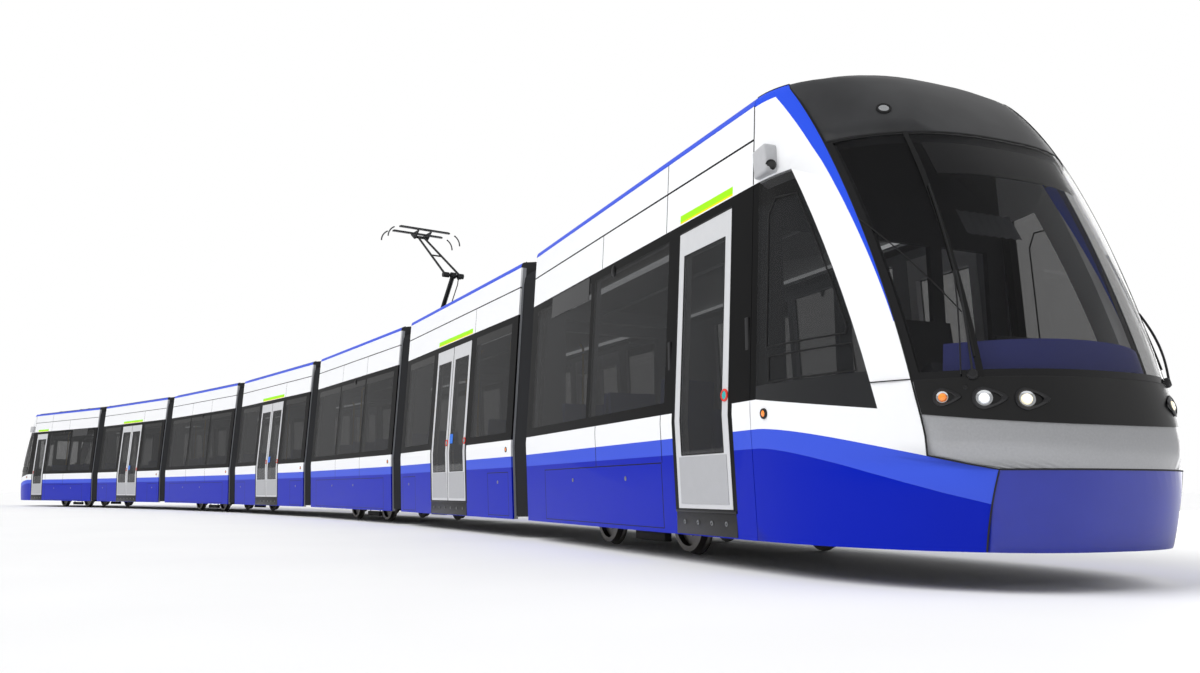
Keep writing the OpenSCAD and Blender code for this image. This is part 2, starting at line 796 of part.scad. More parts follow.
module bogie_frame(k) {
    beam_y0 = track_y + rim_w + 30;
    beam_y1 = beam_y0 + 56;
    reach = wheelbase / 2 + 90;
    color("darkslategray")
        at_car(k)
            translate([bogie_x(k), 0, 0])
                difference() {
                    union() {
                        both_sides() {
                            box(-reach, reach, beam_y0, beam_y1, 126, 176);
                            for (s = [-1, 1])
                                box(s * wheelbase / 2 - 52, s * wheelbase / 2 + 52, beam_y0 - 6,
                                    beam_y1 + 6, 100, 190);
                        }
                        for (s = [-1, 1]) {
                            box(s * 160 - 40, s * 160 + 40, -beam_y0 - 1, beam_y0 + 1, 128, 172);
                            box(s * 265 - 70, s * 265 + 70, -230, 230, 84, 184);
                        }
                        box(-161, 161, -120, 120, 110, 186);
                    }
                    for (s = [-1, 1])
                        translate([s * wheelbase / 2, 0, axle_z])
                            rotate([90, 0, 0])
                                cylinder(h = 3 * axle_end, r = journal_r + running_c, center = true);
                }
}

// ---- Bellows ----

// Puts the plane halfway between two cars' end faces at zero, with X along the curve.
module at_mitre(k) {
    at_knuckle(k, k)
        rotate([0, 0, bend / 2])
            children();
}

// Two open-bottomed sleeves that meet in a hoop at the middle of the gap.
module bellows(k) {
    overrun = 60;
    color("darkslategray") {
        at_mitre(k)
            along(-hoop_l / 2, hoop_l / 2)
                bellows_section(hoop_proud);
        for (ahead = [0, 1])
            intersection() {
                at_knuckle(k, k + 1 - ahead)
                    mirror([1 - ahead, 0, 0])
                        along(-overrun, gap / 2 - seal_gap)
                            bellows_section(0);
                at_mitre(k)
                    rotate([0, 0, ahead * 180 + 180])
                        box(hoop_l / 6, gap, -half_w, half_w, 0, 2 * crown_z);
            }
    }
}

// The sleeve's section, made thicker on both sides by proud.
module bellows_section(proud) {
    low = skirt_z + 20 - proud;
    top = eaves_z - 30;
    d = bellows_in - proud;
    t = bellows_t + 2 * proud;
    difference() {
        polygon([[side(low) - d, low], [half_w - d, waist_z], [side(top) - d, top - 40],
            [side(top) - d - 60, top + proud], [d + 60 - side(top), top + proud],
            [d - side(top), top - 40], [d - half_w, waist_z], [d - side(low), low]]);
        polygon([[side(low) - d - t, low - cut], [half_w - d - t, waist_z],
            [side(top) - d - t, top - 60], [side(top) - d - 70, top + proud - t],
            [d + 70 - side(top), top + proud - t], [d + t - side(top), top - 60],
            [d + t - half_w, waist_z], [d + t - side(low), low - cut]]);
    }
}

// ---- Pantograph, drawn raised ----

function polar(r, a) = [r * cos(a), r * sin(a)];
foot = [panto_x, crown_z + panto_rise];
knee = foot + polar(lower_arm_l, lower_arm_a);
top = knee + polar(upper_arm_l, 180 - upper_arm_a);
rod_foot = foot + [70, -26];
tail_l = 48;
rod_top = knee - polar(tail_l, 180 - upper_arm_a);
rod_y = 40;
pivot_r = 15;
rod_pin_r = 7;
rod_half = 5;
rod_r = 5;
// The rod is cranked near its top, so that it passes under the knee when the arms are folded.
crank_back = 60;
crank_drop = 26;
knee_boss = 24;
cheek_y = 70;

module at_panto(p) {
    at_car(PANTO_CAR)
        translate([p[0], 0, p[1]])
            children();
}

// A round bar across the car.
module cross_bar(r, half) {
    rotate([90, 0, 0])
        cylinder(h = 2 * half, r = r, center = true);
}

// A tube in the pantograph's side view, from zero to a point, at a given Y at each end.
module strut(p, r, ya, yb) {
    d = [p[0], yb - ya, p[1]];
    translate([0, ya, 0])
        rotate([0, acos(d[2] / norm(d)), atan2(d[1], d[0])])
            cylinder(h = norm(d), r = r, $fn = 24);
}

module pantograph_base() {
    rail_z = 34;
    color("gray")
        at_car(PANTO_CAR)
            translate([panto_x, 0, crown_z]) {
                for (x = [-330, 190], y = [-240, 240])
                    translate([x, y, -4])
                        rotate_extrude($fn = 32)
                            polygon([[0, 0], [30, 0], [18, 6], [26, 12], [18, 18], [26, 24], [18, 30],
                                [18, rail_z + 5], [0, rail_z + 5]]);
                for (y = [-240, 240])
                    box(-350, 220, y - 14, y + 14, rail_z, rail_z + 24);
                for (x = [-345, 185])
                    box(x, x + 28, -241, 241, rail_z, rail_z + 24);
                for (s = [-1, 1])
                    pivot_stand(s, rail_z);
                rod_stand(rail_z);
            }
}

// A cheek plate that holds one end of the lower arm's shaft.
module pivot_stand(s, rail_z) {
    difference() {
        union() {
            box(-30, 30, s * 115 - 9, s * 115 + 9, rail_z, panto_rise);
            translate([0, s * 115, panto_rise])
                cross_bar(30, 9);
            box(-14, 14, min(s * 106, s * 241), max(s * 106, s * 241), rail_z, rail_z + 20);
        }
        translate([0, 0, panto_rise])
            cross_bar(pivot_r + running_c, 200);
    }
}

// The post beside the thrust rod, with the pin that the rod turns on.
module rod_stand(rail_z) {
    x = rod_foot[0] - foot[0];
    z = panto_rise + rod_foot[1] - foot[1];
    post_y = rod_y + rod_half + 3;
    box(x - 12, x + 12, post_y, post_y + 12, rail_z, z + 12);
    box(x - 12, 200, post_y, post_y + 12, rail_z, rail_z + 9);
    translate([x, (rod_y - rod_half + post_y) / 2 + 1, z])
        cross_bar(rod_pin_r, (post_y + 2 - rod_y + rod_half) / 2);
}

module pantograph_lower_arm() {
    color("dimgray")
        at_panto(foot) {
            cross_bar(pivot_r, 124);
            cross_bar(26, 96);
            difference() {
                union() {
                    strut(knee - foot, lower_tube_r, 0, 0);
                    translate([knee[0] - foot[0], 0, knee[1] - foot[1]])
                        cross_bar(30, knee_boss);
                }
                translate([knee[0] - foot[0], 0, knee[1] - foot[1]])
                    cross_bar(pivot_r + running_c, 60);
            }
        }
}

module pantograph_upper_arm() {
    reach = top - knee;
    color("dimgray")
        at_panto(knee) {
            cross_bar(pivot_r, 105);
            for (s = [-1, 1]) {
                translate([0, s * 76, 0])
                    cross_bar(26, 30);
                strut(reach, upper_tube_r, s * 80, s * 34);
            }
            translate([reach[0] / 2, 0, reach[1] / 2])
                cross_bar(8, 58);
            translate([reach[0], 0, reach[1]])
                cross_bar(pivot_r, cheek_y + 8);
            tail();
        }
}

// The upper arm's tail behind the knee, with the loose pin that the thrust rod's eye surrounds.
module tail() {
    plate_y = 52;
    rotate([0, upper_arm_a, 0])
        box(0, tail_l + 12, plate_y, plate_y + 10, -12, 12);
    translate([rod_top[0] - knee[0], (plate_y + rod_y - rod_half) / 2, rod_top[1] - knee[1]])
        cross_bar(6, (plate_y - rod_y + rod_half) / 2 + 1);
}

module pantograph_rod() {
    reach = rod_top - rod_foot;
    lean = atan2(reach[1], reach[0]);
    crank = polar(norm(reach) - crank_back, lean) + polar(crank_drop, lean - 90);
    color("silver")
        at_panto(rod_foot)
            difference() {
                union() {
                    strut(crank, rod_r, rod_y, rod_y);
                    translate([crank[0], rod_y, crank[1]])
                        sphere(r = rod_r, $fn = 24);
                    translate([crank[0], 0, crank[1]])
                        strut(reach - crank, rod_r, rod_y, rod_y);
                    translate([0, rod_y, 0])
                        cross_bar(15, rod_half);
                    translate([reach[0], rod_y, reach[1]])
                        cross_bar(20, rod_half);
                }
                translate([0, rod_y, 0])
                    cross_bar(rod_pin_r + running_c, 20);
                translate([reach[0], rod_y, reach[1]])
                    cross_bar(13, 20);
            }
}

module pantograph_head() {
    strip_y = 0.5 * strip_l;
    color("gray")
        at_panto(top) {
            difference() {
                for (s = [-1, 1])
                    hull() {
                        translate([0, s * cheek_y, 0])
                            cross_bar(24, 6);
                        translate([0, s * cheek_y, 40])
                            box(-105, 105, -6, 6, 0, 12);
                    }
                cross_bar(pivot_r + running_c, 90);
            }
            for (x = [-100, 100]) {
                box(x - 14, x + 14, -strip_y, strip_y, 52, 66);
                both_sides()
                    translate([x, strip_y, 52])
                        rotate([0, 90, 0])
                            rotate_horn();
            }
        }
}

// A horn that curves down from the end of a contact strip.
module rotate_horn() {
    r = (head_w - strip_l) / 2;
    translate([r - 7, -1, 0])
        rotate([0, 0, 90])
            rotate_extrude(angle = 62, $fn = 64)
                translate([r, 0])
                    circle(r = 7, $fn = 16);
}

// ---- Nose panels ----

// The front mask, from the bumper's lower edge up to the windscreen.
module mask(k) {
    color("silver")
        at_car(k)
            nose_panel(wall_t, function(r, c) r < sill_row && in_front(c));
}

function wanted(name) = node == "all" || node == name;

for (k = [1:CARS]) {
    if (wanted(str("car_", k, "_walls"))) walls(k);
    if (wanted(str("car_", k, "_roof"))) roof(k);
    if (wanted(str("car_", k, "_floor"))) floor_of(k);
    if (wanted(str("car_", k, "_glazing"))) glazing(k);
}
for (k = concat(CAB_CARS, DOOR_CARS))
    if (wanted(str("car_", k, "_doors"))) doors(k);
for (k = CAB_CARS) {
    if (wanted(str("car_", k, "_mask"))) mask(k);
    if (wanted(str("car_", k, "_windscreen"))) windscreen(k);
}
for (k = BOGIE_CARS) {
    if (wanted(str("car_", k, "_bogie_frame"))) bogie_frame(k);
    if (wanted(str("car_", k, "_front_wheelset"))) wheelset(k, 1);
    if (wanted(str("car_", k, "_rear_wheelset"))) wheelset(k, -1);
}
for (k = [1:CARS - 1])
    if (wanted(str("bellows_", k, "_", k + 1))) bellows(k);
if (wanted("pantograph_base")) pantograph_base();
if (wanted("pantograph_lower_arm")) pantograph_lower_arm();
if (wanted("pantograph_upper_arm")) pantograph_upper_arm();
if (wanted("pantograph_rod")) pantograph_rod();
if (wanted("pantograph_head")) pantograph_head();
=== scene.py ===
import json
import logging
import math
from collections.abc import Callable, Iterable, Sequence
from dataclasses import dataclass
from enum import Enum

import bpy
from mathutils import Matrix, Vector


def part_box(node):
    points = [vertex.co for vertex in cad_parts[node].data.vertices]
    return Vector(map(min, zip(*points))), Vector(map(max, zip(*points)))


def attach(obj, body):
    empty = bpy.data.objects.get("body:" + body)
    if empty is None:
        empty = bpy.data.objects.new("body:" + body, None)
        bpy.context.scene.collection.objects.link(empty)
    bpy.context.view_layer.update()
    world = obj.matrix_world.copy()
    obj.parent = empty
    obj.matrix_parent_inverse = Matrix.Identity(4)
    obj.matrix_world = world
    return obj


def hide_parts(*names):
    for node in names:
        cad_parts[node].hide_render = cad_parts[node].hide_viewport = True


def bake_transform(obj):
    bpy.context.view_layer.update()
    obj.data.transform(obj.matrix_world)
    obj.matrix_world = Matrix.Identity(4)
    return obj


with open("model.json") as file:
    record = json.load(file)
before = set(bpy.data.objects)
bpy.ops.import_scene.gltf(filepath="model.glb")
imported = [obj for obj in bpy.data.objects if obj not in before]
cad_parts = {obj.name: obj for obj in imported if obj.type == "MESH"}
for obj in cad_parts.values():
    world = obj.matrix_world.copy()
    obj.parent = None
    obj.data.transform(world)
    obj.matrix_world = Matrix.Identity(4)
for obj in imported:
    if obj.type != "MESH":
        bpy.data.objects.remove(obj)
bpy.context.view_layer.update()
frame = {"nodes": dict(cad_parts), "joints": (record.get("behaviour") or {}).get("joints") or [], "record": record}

LOG = logging.getLogger("tram")
MM = 0.001
CARS = range(1, 8)
CAB_CARS = (1, 7)
DOOR_CARS = (2, 4, 6)
BOGIE_CARS = (1, 3, 5, 7)
PANTOGRAPH_CAR = 3
Point = tuple[float, float, float]
Pair = tuple[float, float]
Piece = bpy.types.Object


def spread(start: float, end: float, steps: int) -> list[float]:
    """Evenly spaced values from start to end, with both ends."""
    return [start + (end - start) * i / steps for i in range(steps + 1)]


# ---- Sizes shared with the design, in metres ----


@dataclass(frozen=True)
class TramPlan:
    """Where the cars stand, and the sizes that all of them share."""

    car_len: float = 2.5
    seam_x: float = 2.56
    gap: float = 0.33
    bend: float = math.radians(5)
    flange: float = 0.014
    half_w: float = 0.662
    skirt_z: float = 0.1
    eaves_z: float = 1.712
    crown_z: float = 1.8

    def heading(self, car: int) -> float:
        """Angle of a car's body from the middle car's, in radians."""
        return (car - 4) * self.bend

    def knuckle(self, car: int) -> Vector:
        """Place of the knuckle behind a car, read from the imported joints."""
        joint = next(j for j in frame["joints"] if j["name"] == f"knuckle_{car}_{car + 1}")
        return Vector((joint["pos_m"][0], joint["pos_m"][1], self.flange))

    def placement(self, car: int) -> Matrix:
        """Matrix from a car's own frame, with zero at its rear face, to the shared frame.

        Args:
            car: Number of the car, from 1 at the front.

        Returns:
            The car's place as a 4 x 4 matrix.
        """
        way = Vector((math.cos(self.heading(car)), math.sin(self.heading(car)), 0))
        last = car == 7
        face = self.knuckle(6) - way * self.gap / 2 if last else self.knuckle(car) + way * self.gap / 2
        turn = self.heading(car) + (math.pi if last else 0)
        return Matrix.Translation(face) @ Matrix.Rotation(turn, 4, "Z")

    def length(self, car: int) -> float:
        """Length of a car's straight walls."""
        return self.seam_x if car in CAB_CARS else self.car_len

    def side(self, z: float) -> float:
        """Half width over the outer skin at a height below the eaves."""
        if z < 0.555:
            return 0.641 + (z - 0.1) / 0.455 * 0.021
        return self.half_w - (z - 0.555) / 1.157 * 0.057


PLAN = TramPlan()


@dataclass(frozen=True)
class NoseShape:
    """The curved nose, as the design shapes it."""

    length: float = 0.975
    tip_z: float = 0.42
    top_z: float = 1.885
    cove_z: float = 1.748
    chin: float = 0.06
    across: float = 2.6
    along: float = 2.1
    foot: float = 1.2
    crown: float = 0.47
    arch_len: float = 0.707
    arch_foot: float = 1.25
    arch_crown: float = 0.72
    dome_rise: float = 0.44

    def rake(self, z: float, foot: float, crown: float) -> float:
        """Share of the reach that is left at a height."""
        rise = (max(z, self.tip_z) - self.tip_z) / (self.top_z - self.tip_z)
        return (1 - rise**foot) ** crown

    def reach(self, z: float) -> float:
        """How far the nose reaches in front of the seam at a height."""
        if z <= self.tip_z:
            return self.length - self.chin * ((self.tip_z - z) / (self.tip_z - PLAN.skirt_z)) ** 2
        return self.length * self.rake(z, self.foot, self.crown)

    def half_width(self, z: float) -> float:
        """Half width of the nose at a height."""
        if z <= PLAN.eaves_z:
            return PLAN.side(z)
        if z <= self.cove_z:
            return 0.605 - 0.022 * (1 - math.sqrt(1 - ((z - PLAN.eaves_z) / 0.036) ** 2))
        return 0.583 * math.sqrt(max(1 - (z - self.cove_z) / (self.top_z - self.cove_z), 0))

    def arch_x(self, z: float) -> float:
        """X of the white side frames' front edge."""
        return PLAN.seam_x + self.arch_len * self.rake(z, self.arch_foot, self.arch_crown)

    def front_x(self, z: float) -> float:
        """X of the side frames' front edge, followed down to the skirt."""
        if z < 0.333:
            return 3.415 - 0.06 * (0.333 - z) / 0.233
        if z < 0.375:
            return 3.415 + (self.arch_x(0.375) - 3.415) * (z - 0.333) / 0.042
        return self.arch_x(z)

    def angle(self, x: float, z: float) -> float:
        """Angle in plan of a place on the nose, from the tip's direction."""
        return math.acos(min(1, ((x - PLAN.seam_x) / self.reach(z)) ** (self.along / 2)))

    def point(self, z: float, a: float, out: float = 0) -> Vector:
        """A place on the nose.

        Args:
            z: Height above the rail head.
            a: Angle in plan, from the tip's direction, positive to the left.
            out: How far outside the skin.

        Returns:
            The place in the car's own frame.
        """
        x = PLAN.seam_x + self.reach(z) * max(math.cos(a), 0) ** (2 / self.along)
        y = self.half_width(z) * math.copysign(abs(math.sin(a)) ** (2 / self.across), a)
        level = z
        if z > self.cove_z:
            drop = 1 - (PLAN.crown_z - self.cove_z) / (self.top_z - self.cove_z)
            share = min(max((x - PLAN.seam_x) / self.dome_rise, 0), 1)
            level = self.cove_z + (z - self.cove_z) * (1 - drop * (1 - share) ** 2)
        place = Vector((x, y, level))
        return place + self.normal(z, a) * out if out else place

    def normal(self, z: float, a: float) -> Vector:
        """Outward direction at a place on the nose."""
        step = 0.004
        up = self.point(min(z + step, 1.88), a) - self.point(z - step, a)
        round_ = self.point(z, a + 0.01) - self.point(z, a - 0.01)
        return round_.cross(up).normalized()

    def at_y(self, y: float, z: float, out: float = 0) -> Vector:
        """The place on the nose at a distance from the middle plane and a height."""
        share = min(abs(y) / self.half_width(z), 1)
        return self.point(z, math.copysign(math.asin(share ** (self.across / 2)), y), out)

    def at_x(self, x: float, z: float, left: int, out: float = 0) -> Vector:
        """The place on one side of the nose at a distance along the car and a height."""
        return self.point(z, left * self.angle(x, z), out)


NOSE = NoseShape()


# ---- Materials ----


def linear(code: str) -> tuple[float, float, float, float]:
    """Turns an sRGB hex colour to linear.

    Args:
        code: Six hex digits.

    Returns:
        Red, green, blue and alpha.
    """
    parts = [int(code[i : i + 2], 16) / 255 for i in (0, 2, 4)]
    return (*[c / 12.92 if c <= 0.04045 else ((c + 0.055) / 1.055) ** 2.4 for c in parts], 1.0)


class Wire:
    """A value in a material's graph, which sums and compares as a number does."""

    def __init__(self, graph: "Graph", socket: bpy.types.NodeSocket) -> None:
        """Holds a socket of a graph."""
        self.graph, self.socket = graph, socket

    def sum(self, operation: str, *others: "Wire | float") -> "Wire":
        """Adds a sum that starts from this value."""
        return self.graph.add("Math", dict(enumerate((self, *others))), operation=operation)

    def __add__(self, other: "Wire | float") -> "Wire":
        """This value and another together."""
        return self.sum("ADD", other)

    def __sub__(self, other: "Wire | float") -> "Wire":
        """This value less another."""
        return self.sum("SUBTRACT", other)

    def __mul__(self, other: "Wire | float") -> "Wire":
        """This value times another; of two masks, where both hold."""
        return self.sum("MULTIPLY", other)

    def __lt__(self, other: "Wire | float") -> "Wire":
        """One where this value is the smaller."""
        return self.sum("LESS_THAN", other)

    def __gt__(self, other: "Wire | float") -> "Wire":
        """One where this value is the larger."""
        return self.sum("GREATER_THAN", other)

    def within(self, low: "Wire | float", high: "Wire | float") -> "Wire":
        """One between two limits."""
        return (self > low) * (self < high)

    def either(self, other: "Wire") -> "Wire":
        """Of two masks, where one or the other holds."""
        return self.sum("MAXIMUM", other)


class Graph:
    """A material while its nodes are laid out."""

    def __init__(self, name: str, **shader: object) -> None:
        """Starts a material with constant values on its shader.

        Args:
            name: The material's name.
            shader: Values of the shader's sockets, with _ for a space.
        """
        self.material = bpy.data.materials.new(name)
        self.material.use_nodes = True
        self.tree = self.material.node_tree
        self.shader = self.tree.nodes["Principled BSDF"]
        for key, value in shader.items():
            self.shader.inputs[key.replace("_", " ")].default_value = value

    def add(self, kind: str, links: dict | None = None, out: int | str = 0, **settings: object) -> Wire:
        """Adds a node.

        Args:
            kind: The node's type, without ShaderNode.
            links: Values or wires by input.
            out: Which output is wanted.
            settings: The node's own settings.

        Returns:
            The output as a wire.
        """
        node = self.tree.nodes.new("ShaderNode" + kind)
        for key, value in settings.items():
            setattr(node, key, value)
        for key, value in (links or {}).items():
            if isinstance(value, Wire):
                self.tree.links.new(value.socket, node.inputs[key])
            else:
                node.inputs[key].default_value = value
        return Wire(self, node.outputs[out])

    def place(self, car: int | None = None) -> list[Wire]:
        """X, Y and Z in millimetres, in a car's own frame or in the shared one."""
        at = PLAN.placement(car) if car else Matrix.Translation((0, 0, PLAN.flange))
        where = self.add("TexCoord", out="Object")
        where = self.add("Mapping", {"Vector": where, "Location": at.to_translation(),
                         "Rotation": at.to_euler(), "Scale": (MM, MM, MM)}, vector_type="TEXTURE")
        return [self.add("SeparateXYZ", {0: where}, out=i) for i in range(3)]

    def coat(self, under: "Wire | str", over: "Wire | str", mask: Wire) -> Wire:
        """Lays one colour over another where a mask holds."""
        pair = [linear(c) if isinstance(c, str) else c for c in (under, over)]
        return self.add("Mix", {0: mask, 6: pair[0], 7: pair[1]}, out=2, data_type="RGBA")

    def grain(self, size_mm: float, detail: float = 2, stretch: Point = (1, 1, 1)) -> Wire:
        """Soft noise whose patches have a real size."""
        where = self.add("TexCoord", out="Object")
        where = self.add("Mapping", {"Vector": where, "Scale": stretch})
        return self.add("TexNoise", {"Vector": where, "Scale": 1 / (size_mm * MM), "Detail": detail})

    def relief(self, height: Wire, depth_mm: float, strength: float = 1) -> None:
        """Raises the surface by a height."""
        bump = self.add("Bump", {"Height": height, "Distance": depth_mm * MM, "Strength": strength})
        self.tree.links.new(bump.socket, self.shader.inputs["Normal"])

    def feed(self, **wires: Wire) -> None:
        """Links wires to the shader's sockets, with _ for a space."""
        for key, wire in wires.items():
            self.tree.links.new(wire.socket, self.shader.inputs[key.replace("_", " ")])


class Paint(Enum):
    """Colours of the tram's coats."""

    WHITE = "F1F2F4"
    LIGHT_BLUE = "3E58D6"
    BLUE = "021DAE"
    STRIPE = "2C52E0"
    BLACK = "0C0C0D"
    SEAM = "0B0B0D"
    LIME = "A4F41A"
    YELLOW = "F4E11E"
    DOME = "1B1B1D"
    LINING = "9A9CA0"


@dataclass(frozen=True)
class Livery:
    """Sprayed two-pack coats over a car's walls: hard gloss with a faint orange peel."""

    car: int

    def doorway(self) -> Pair | None:
        """Start and end of the car's doorway in millimetres, if it has one."""
        if self.car in CAB_CARS:
            return 1970, 2410
        return (860, 1640) if self.car in DOOR_CARS else None

    def seams(self) -> list[tuple[float, float, float, float]]:
        """Joints between panels, as x and z limits in millimetres."""
        half, length = 3.0, PLAN.length(self.car) / MM
        lines = [(0, length, 1572.5, 1581.5), (0, length, 1297 - half, 1297 + half)]
        ups = ([(1100, 392, 592), (1100, 1398, 1577), (1837, 392, 592), (1837, 1398, 1712)]
               if self.car in CAB_CARS else
               [(1690, 1398, 1577), (420, 110, 392), (2080, 110, 392)] if self.car in DOOR_CARS else
               [(880, 1398, 1577), (1640, 1398, 1577), (880, 392, 592), (1640, 392, 592)])
        lines += [(x - half, x + half, z0, z1) for x, z0, z1 in ups]
        hatches = ([(331, 1828)] if self.car in CAB_CARS else
                   [(60, 420), (2080, 2440)] if self.car in DOOR_CARS else [(200, 2300)])
        for x0, x1 in hatches:
            lines += [(x0, x1, 388, 393), (x0, x1, 117, 121), (x0 - half, x0 + half, 117, 393),
                      (x1 - half, x1 + half, 117, 393)]
        return lines

    def make(self) -> bpy.types.Material:
        """Builds the material."""
        g = Graph(f"two_pack_livery_car_{self.car}", Roughness=0.32, Specular_IOR_Level=0.08,
                  Coat_Weight=0.05, Coat_Roughness=0.08)
        x, y, z = g.place(self.car)
        cab = self.car in CAB_CARS
        light, dark = 488.0, 420.0
        if cab:
            ahead = (x - 2600).sum("MAXIMUM", 0).sum("POWER", 1.5)
            light, dark = ahead * -0.006625 + light, ahead * -0.00833 + dark
        colour = g.coat(Paint.WHITE.value, Paint.LIGHT_BLUE.value, z < light)
        colour = g.coat(colour, Paint.BLUE.value, z < dark)
        band = z.within(592, 1398)
        if cab:
            band = band * (x < 2600)
            rise = (z - 420).sum("MAXIMUM", 0) * (1 / 1465)
            arch = (rise.sum("POWER", 1.25) * -1 + 1).sum("MAXIMUM", 0).sum("POWER", 0.72) * 707 + 2560
            width = (z - 760).sum("MAXIMUM", 0).sum("POWER", 1.5) * 0.0021 + 4
            stripe = (x > arch - width) * (z > 790) * (x > 2563)
            brow = (z > 1706) * (x > 2563)
            colour = g.coat(colour, Paint.STRIPE.value, stripe.either(brow))
        colour = g.coat(colour, Paint.BLACK.value, band)
        doorway = self.doorway()
        if doorway:
            jambs = x.within(doorway[0] - 26, doorway[1] + 26) * z.within(190, 1398)
            colour = g.coat(colour, Paint.BLACK.value, jambs)
            lime = x.within(*doorway) * z.within(1405, 1440)
            colour = g.coat(colour, Paint.LIME.value, lime)
            colour = g.coat(colour, Paint.YELLOW.value, x.within(*doorway) * z.within(1403, 1411))
        lines = None
        for x0, x1, z0, z1 in self.seams():
            line = x.within(x0, x1) * z.within(z0, z1)
            lines = lines.either(line) if lines else line
        colour = g.coat(colour, Paint.SEAM.value, lines)
        # The lining inside is plain grey laminate.
        skin = (z * 0.04615 + 636.4).sum("MINIMUM", z * -0.04926 + 689.3)
        inside = (y.sum("ABSOLUTE") < skin - 12) * (x < 2556)
        colour = g.coat(colour, Paint.LINING.value, inside)
        g.feed(Base_Color=colour)
        # Orange peel is about 3 mm across.
        g.relief(g.grain(3.5), 0.03, 0.35)
        return g.material


@dataclass(frozen=True)
class RoofCoat:
    """Satin dark coat of the roof and dome, with the blue coat over the cove."""

    car: int

    def make(self) -> bpy.types.Material:
        """Builds the material."""
        g = Graph(f"satin_roof_coat_car_{self.car}", Roughness=0.38, Coat_Weight=0.1, Coat_Roughness=0.2)
        x, _, z = g.place(self.car)
        cove = z.within(1690, 1749)
        cove = cove * x.within(4, 2562 if self.car in CAB_CARS else 2496)
        dust = g.grain(160, 4)
        deck = g.coat(Paint.DOME.value, "38393B", dust)
        g.feed(Base_Color=g.coat(deck, Paint.STRIPE.value, cove))
        g.relief(g.grain(4), 0.03, 0.3)
        return g.material


@dataclass(frozen=True)
class TintedGlass:
    """Grey tinted float glass: nearly black from outside, the windscreen clearer than the sides."""

    car: int

    def make(self) -> bpy.types.Material:
        """Builds the material."""
        g = Graph(f"grey_tinted_float_glass_car_{self.car}", Roughness=0.03, IOR=1.5)
        x, y, z = g.place(self.car)
        tone = g.coat("1E1F21", "0F0F10", z > 1297)
        if self.car in CAB_CARS:
            rise = (z - 420).sum("MAXIMUM", 0) * (1 / 1465)
            arch = (rise.sum("POWER", 1.25) * -1 + 1).sum("MAXIMUM", 0).sum("POWER", 0.72) * 707 + 2560
            screen = x > arch - 4
            # Baked black border where the screen is glued to the body.
            border = (x < arch + 22).either(z < 622).either(z > 1452)
            view = g.add("Mix", {0: border, 2: 0.30, 3: 1.0}, data_type="FLOAT")
            cab_side = (x > 2562) * (z < 640)
            side = g.add("Mix", {0: cab_side, 2: 0.56, 3: 1.0}, data_type="FLOAT")
            clear = g.add("Mix", {0: screen, 2: side, 3: view}, data_type="FLOAT")
            tone = g.coat(tone, "0C0C0E", screen)
        else:
            top = z > 1297
            clear = g.add("Mix", {0: top, 2: 0.62, 3: 0.97}, data_type="FLOAT")
        g.feed(Base_Color=tone, Alpha=clear)
        return g.material


@dataclass(frozen=True)
class FloorCoverings:
    """Grey speckled rubber flooring, with moulded seats under blue moquette."""

    car: int

    def make(self) -> bpy.types.Material:
        """Builds the material."""
        g = Graph(f"speckled_rubber_flooring_car_{self.car}", Roughness=0.6)
        x, y, z = g.place(self.car)
        speck = g.grain(6, 3)
        rubber = g.coat("55585C", "6C7075", speck.within(0.55, 1))
        weave = g.add("TexChecker", {"Vector": g.add("TexCoord", out="Object"), "Scale": 1 / (9 * MM),
                      "Color1": linear("2B3F9C"), "Color2": linear("22327E")})
        colour = g.coat("24262A", rubber, z > 170)
        colour = g.coat(colour, weave, z.within(352, 900))
        if self.car in CAB_CARS:
            colour = g.coat(colour, "2C2D31", x > 2534)
            colour = g.coat(colour, "2F3036", (x > 2900) * (z > 560))
        g.feed(Base_Color=colour)
        g.relief(g.grain(2.5, 3), 0.2, 0.4)
        return g.material


@dataclass(frozen=True)
class Plain:
    """A finish of one material with a little variation of its own colour."""

    name: str
    tone: str
    worn: str
    roughness: float = 0.4
    metallic: float = 0.0
    grain_mm: float = 20
    relief_mm: float = 0.05
    coat: float = 0.0
    stretch: Point = (1, 1, 1)
    glow: float = 0.0

    def make(self) -> bpy.types.Material:
        """Builds the material once and then returns the same one."""
        known = bpy.data.materials.get(self.name)
        if known:
            return known
        g = Graph(self.name, Metallic=self.metallic, Coat_Weight=self.coat, Coat_Roughness=0.06)
        grain = g.grain(self.grain_mm, 4, self.stretch)
        g.feed(Base_Color=g.coat(self.tone, self.worn, grain))
        rough = g.add("MapRange", {0: grain, 3: self.roughness * 0.85, 4: min(self.roughness * 1.2, 1)})
        g.feed(Roughness=rough)
        if self.glow:
            g.shader.inputs["Emission Color"].default_value = linear(self.tone)
            g.shader.inputs["Emission Strength"].default_value = self.glow
        g.relief(g.grain(self.grain_mm / 4, 3, self.stretch), self.relief_mm, 0.4)
        return g.material


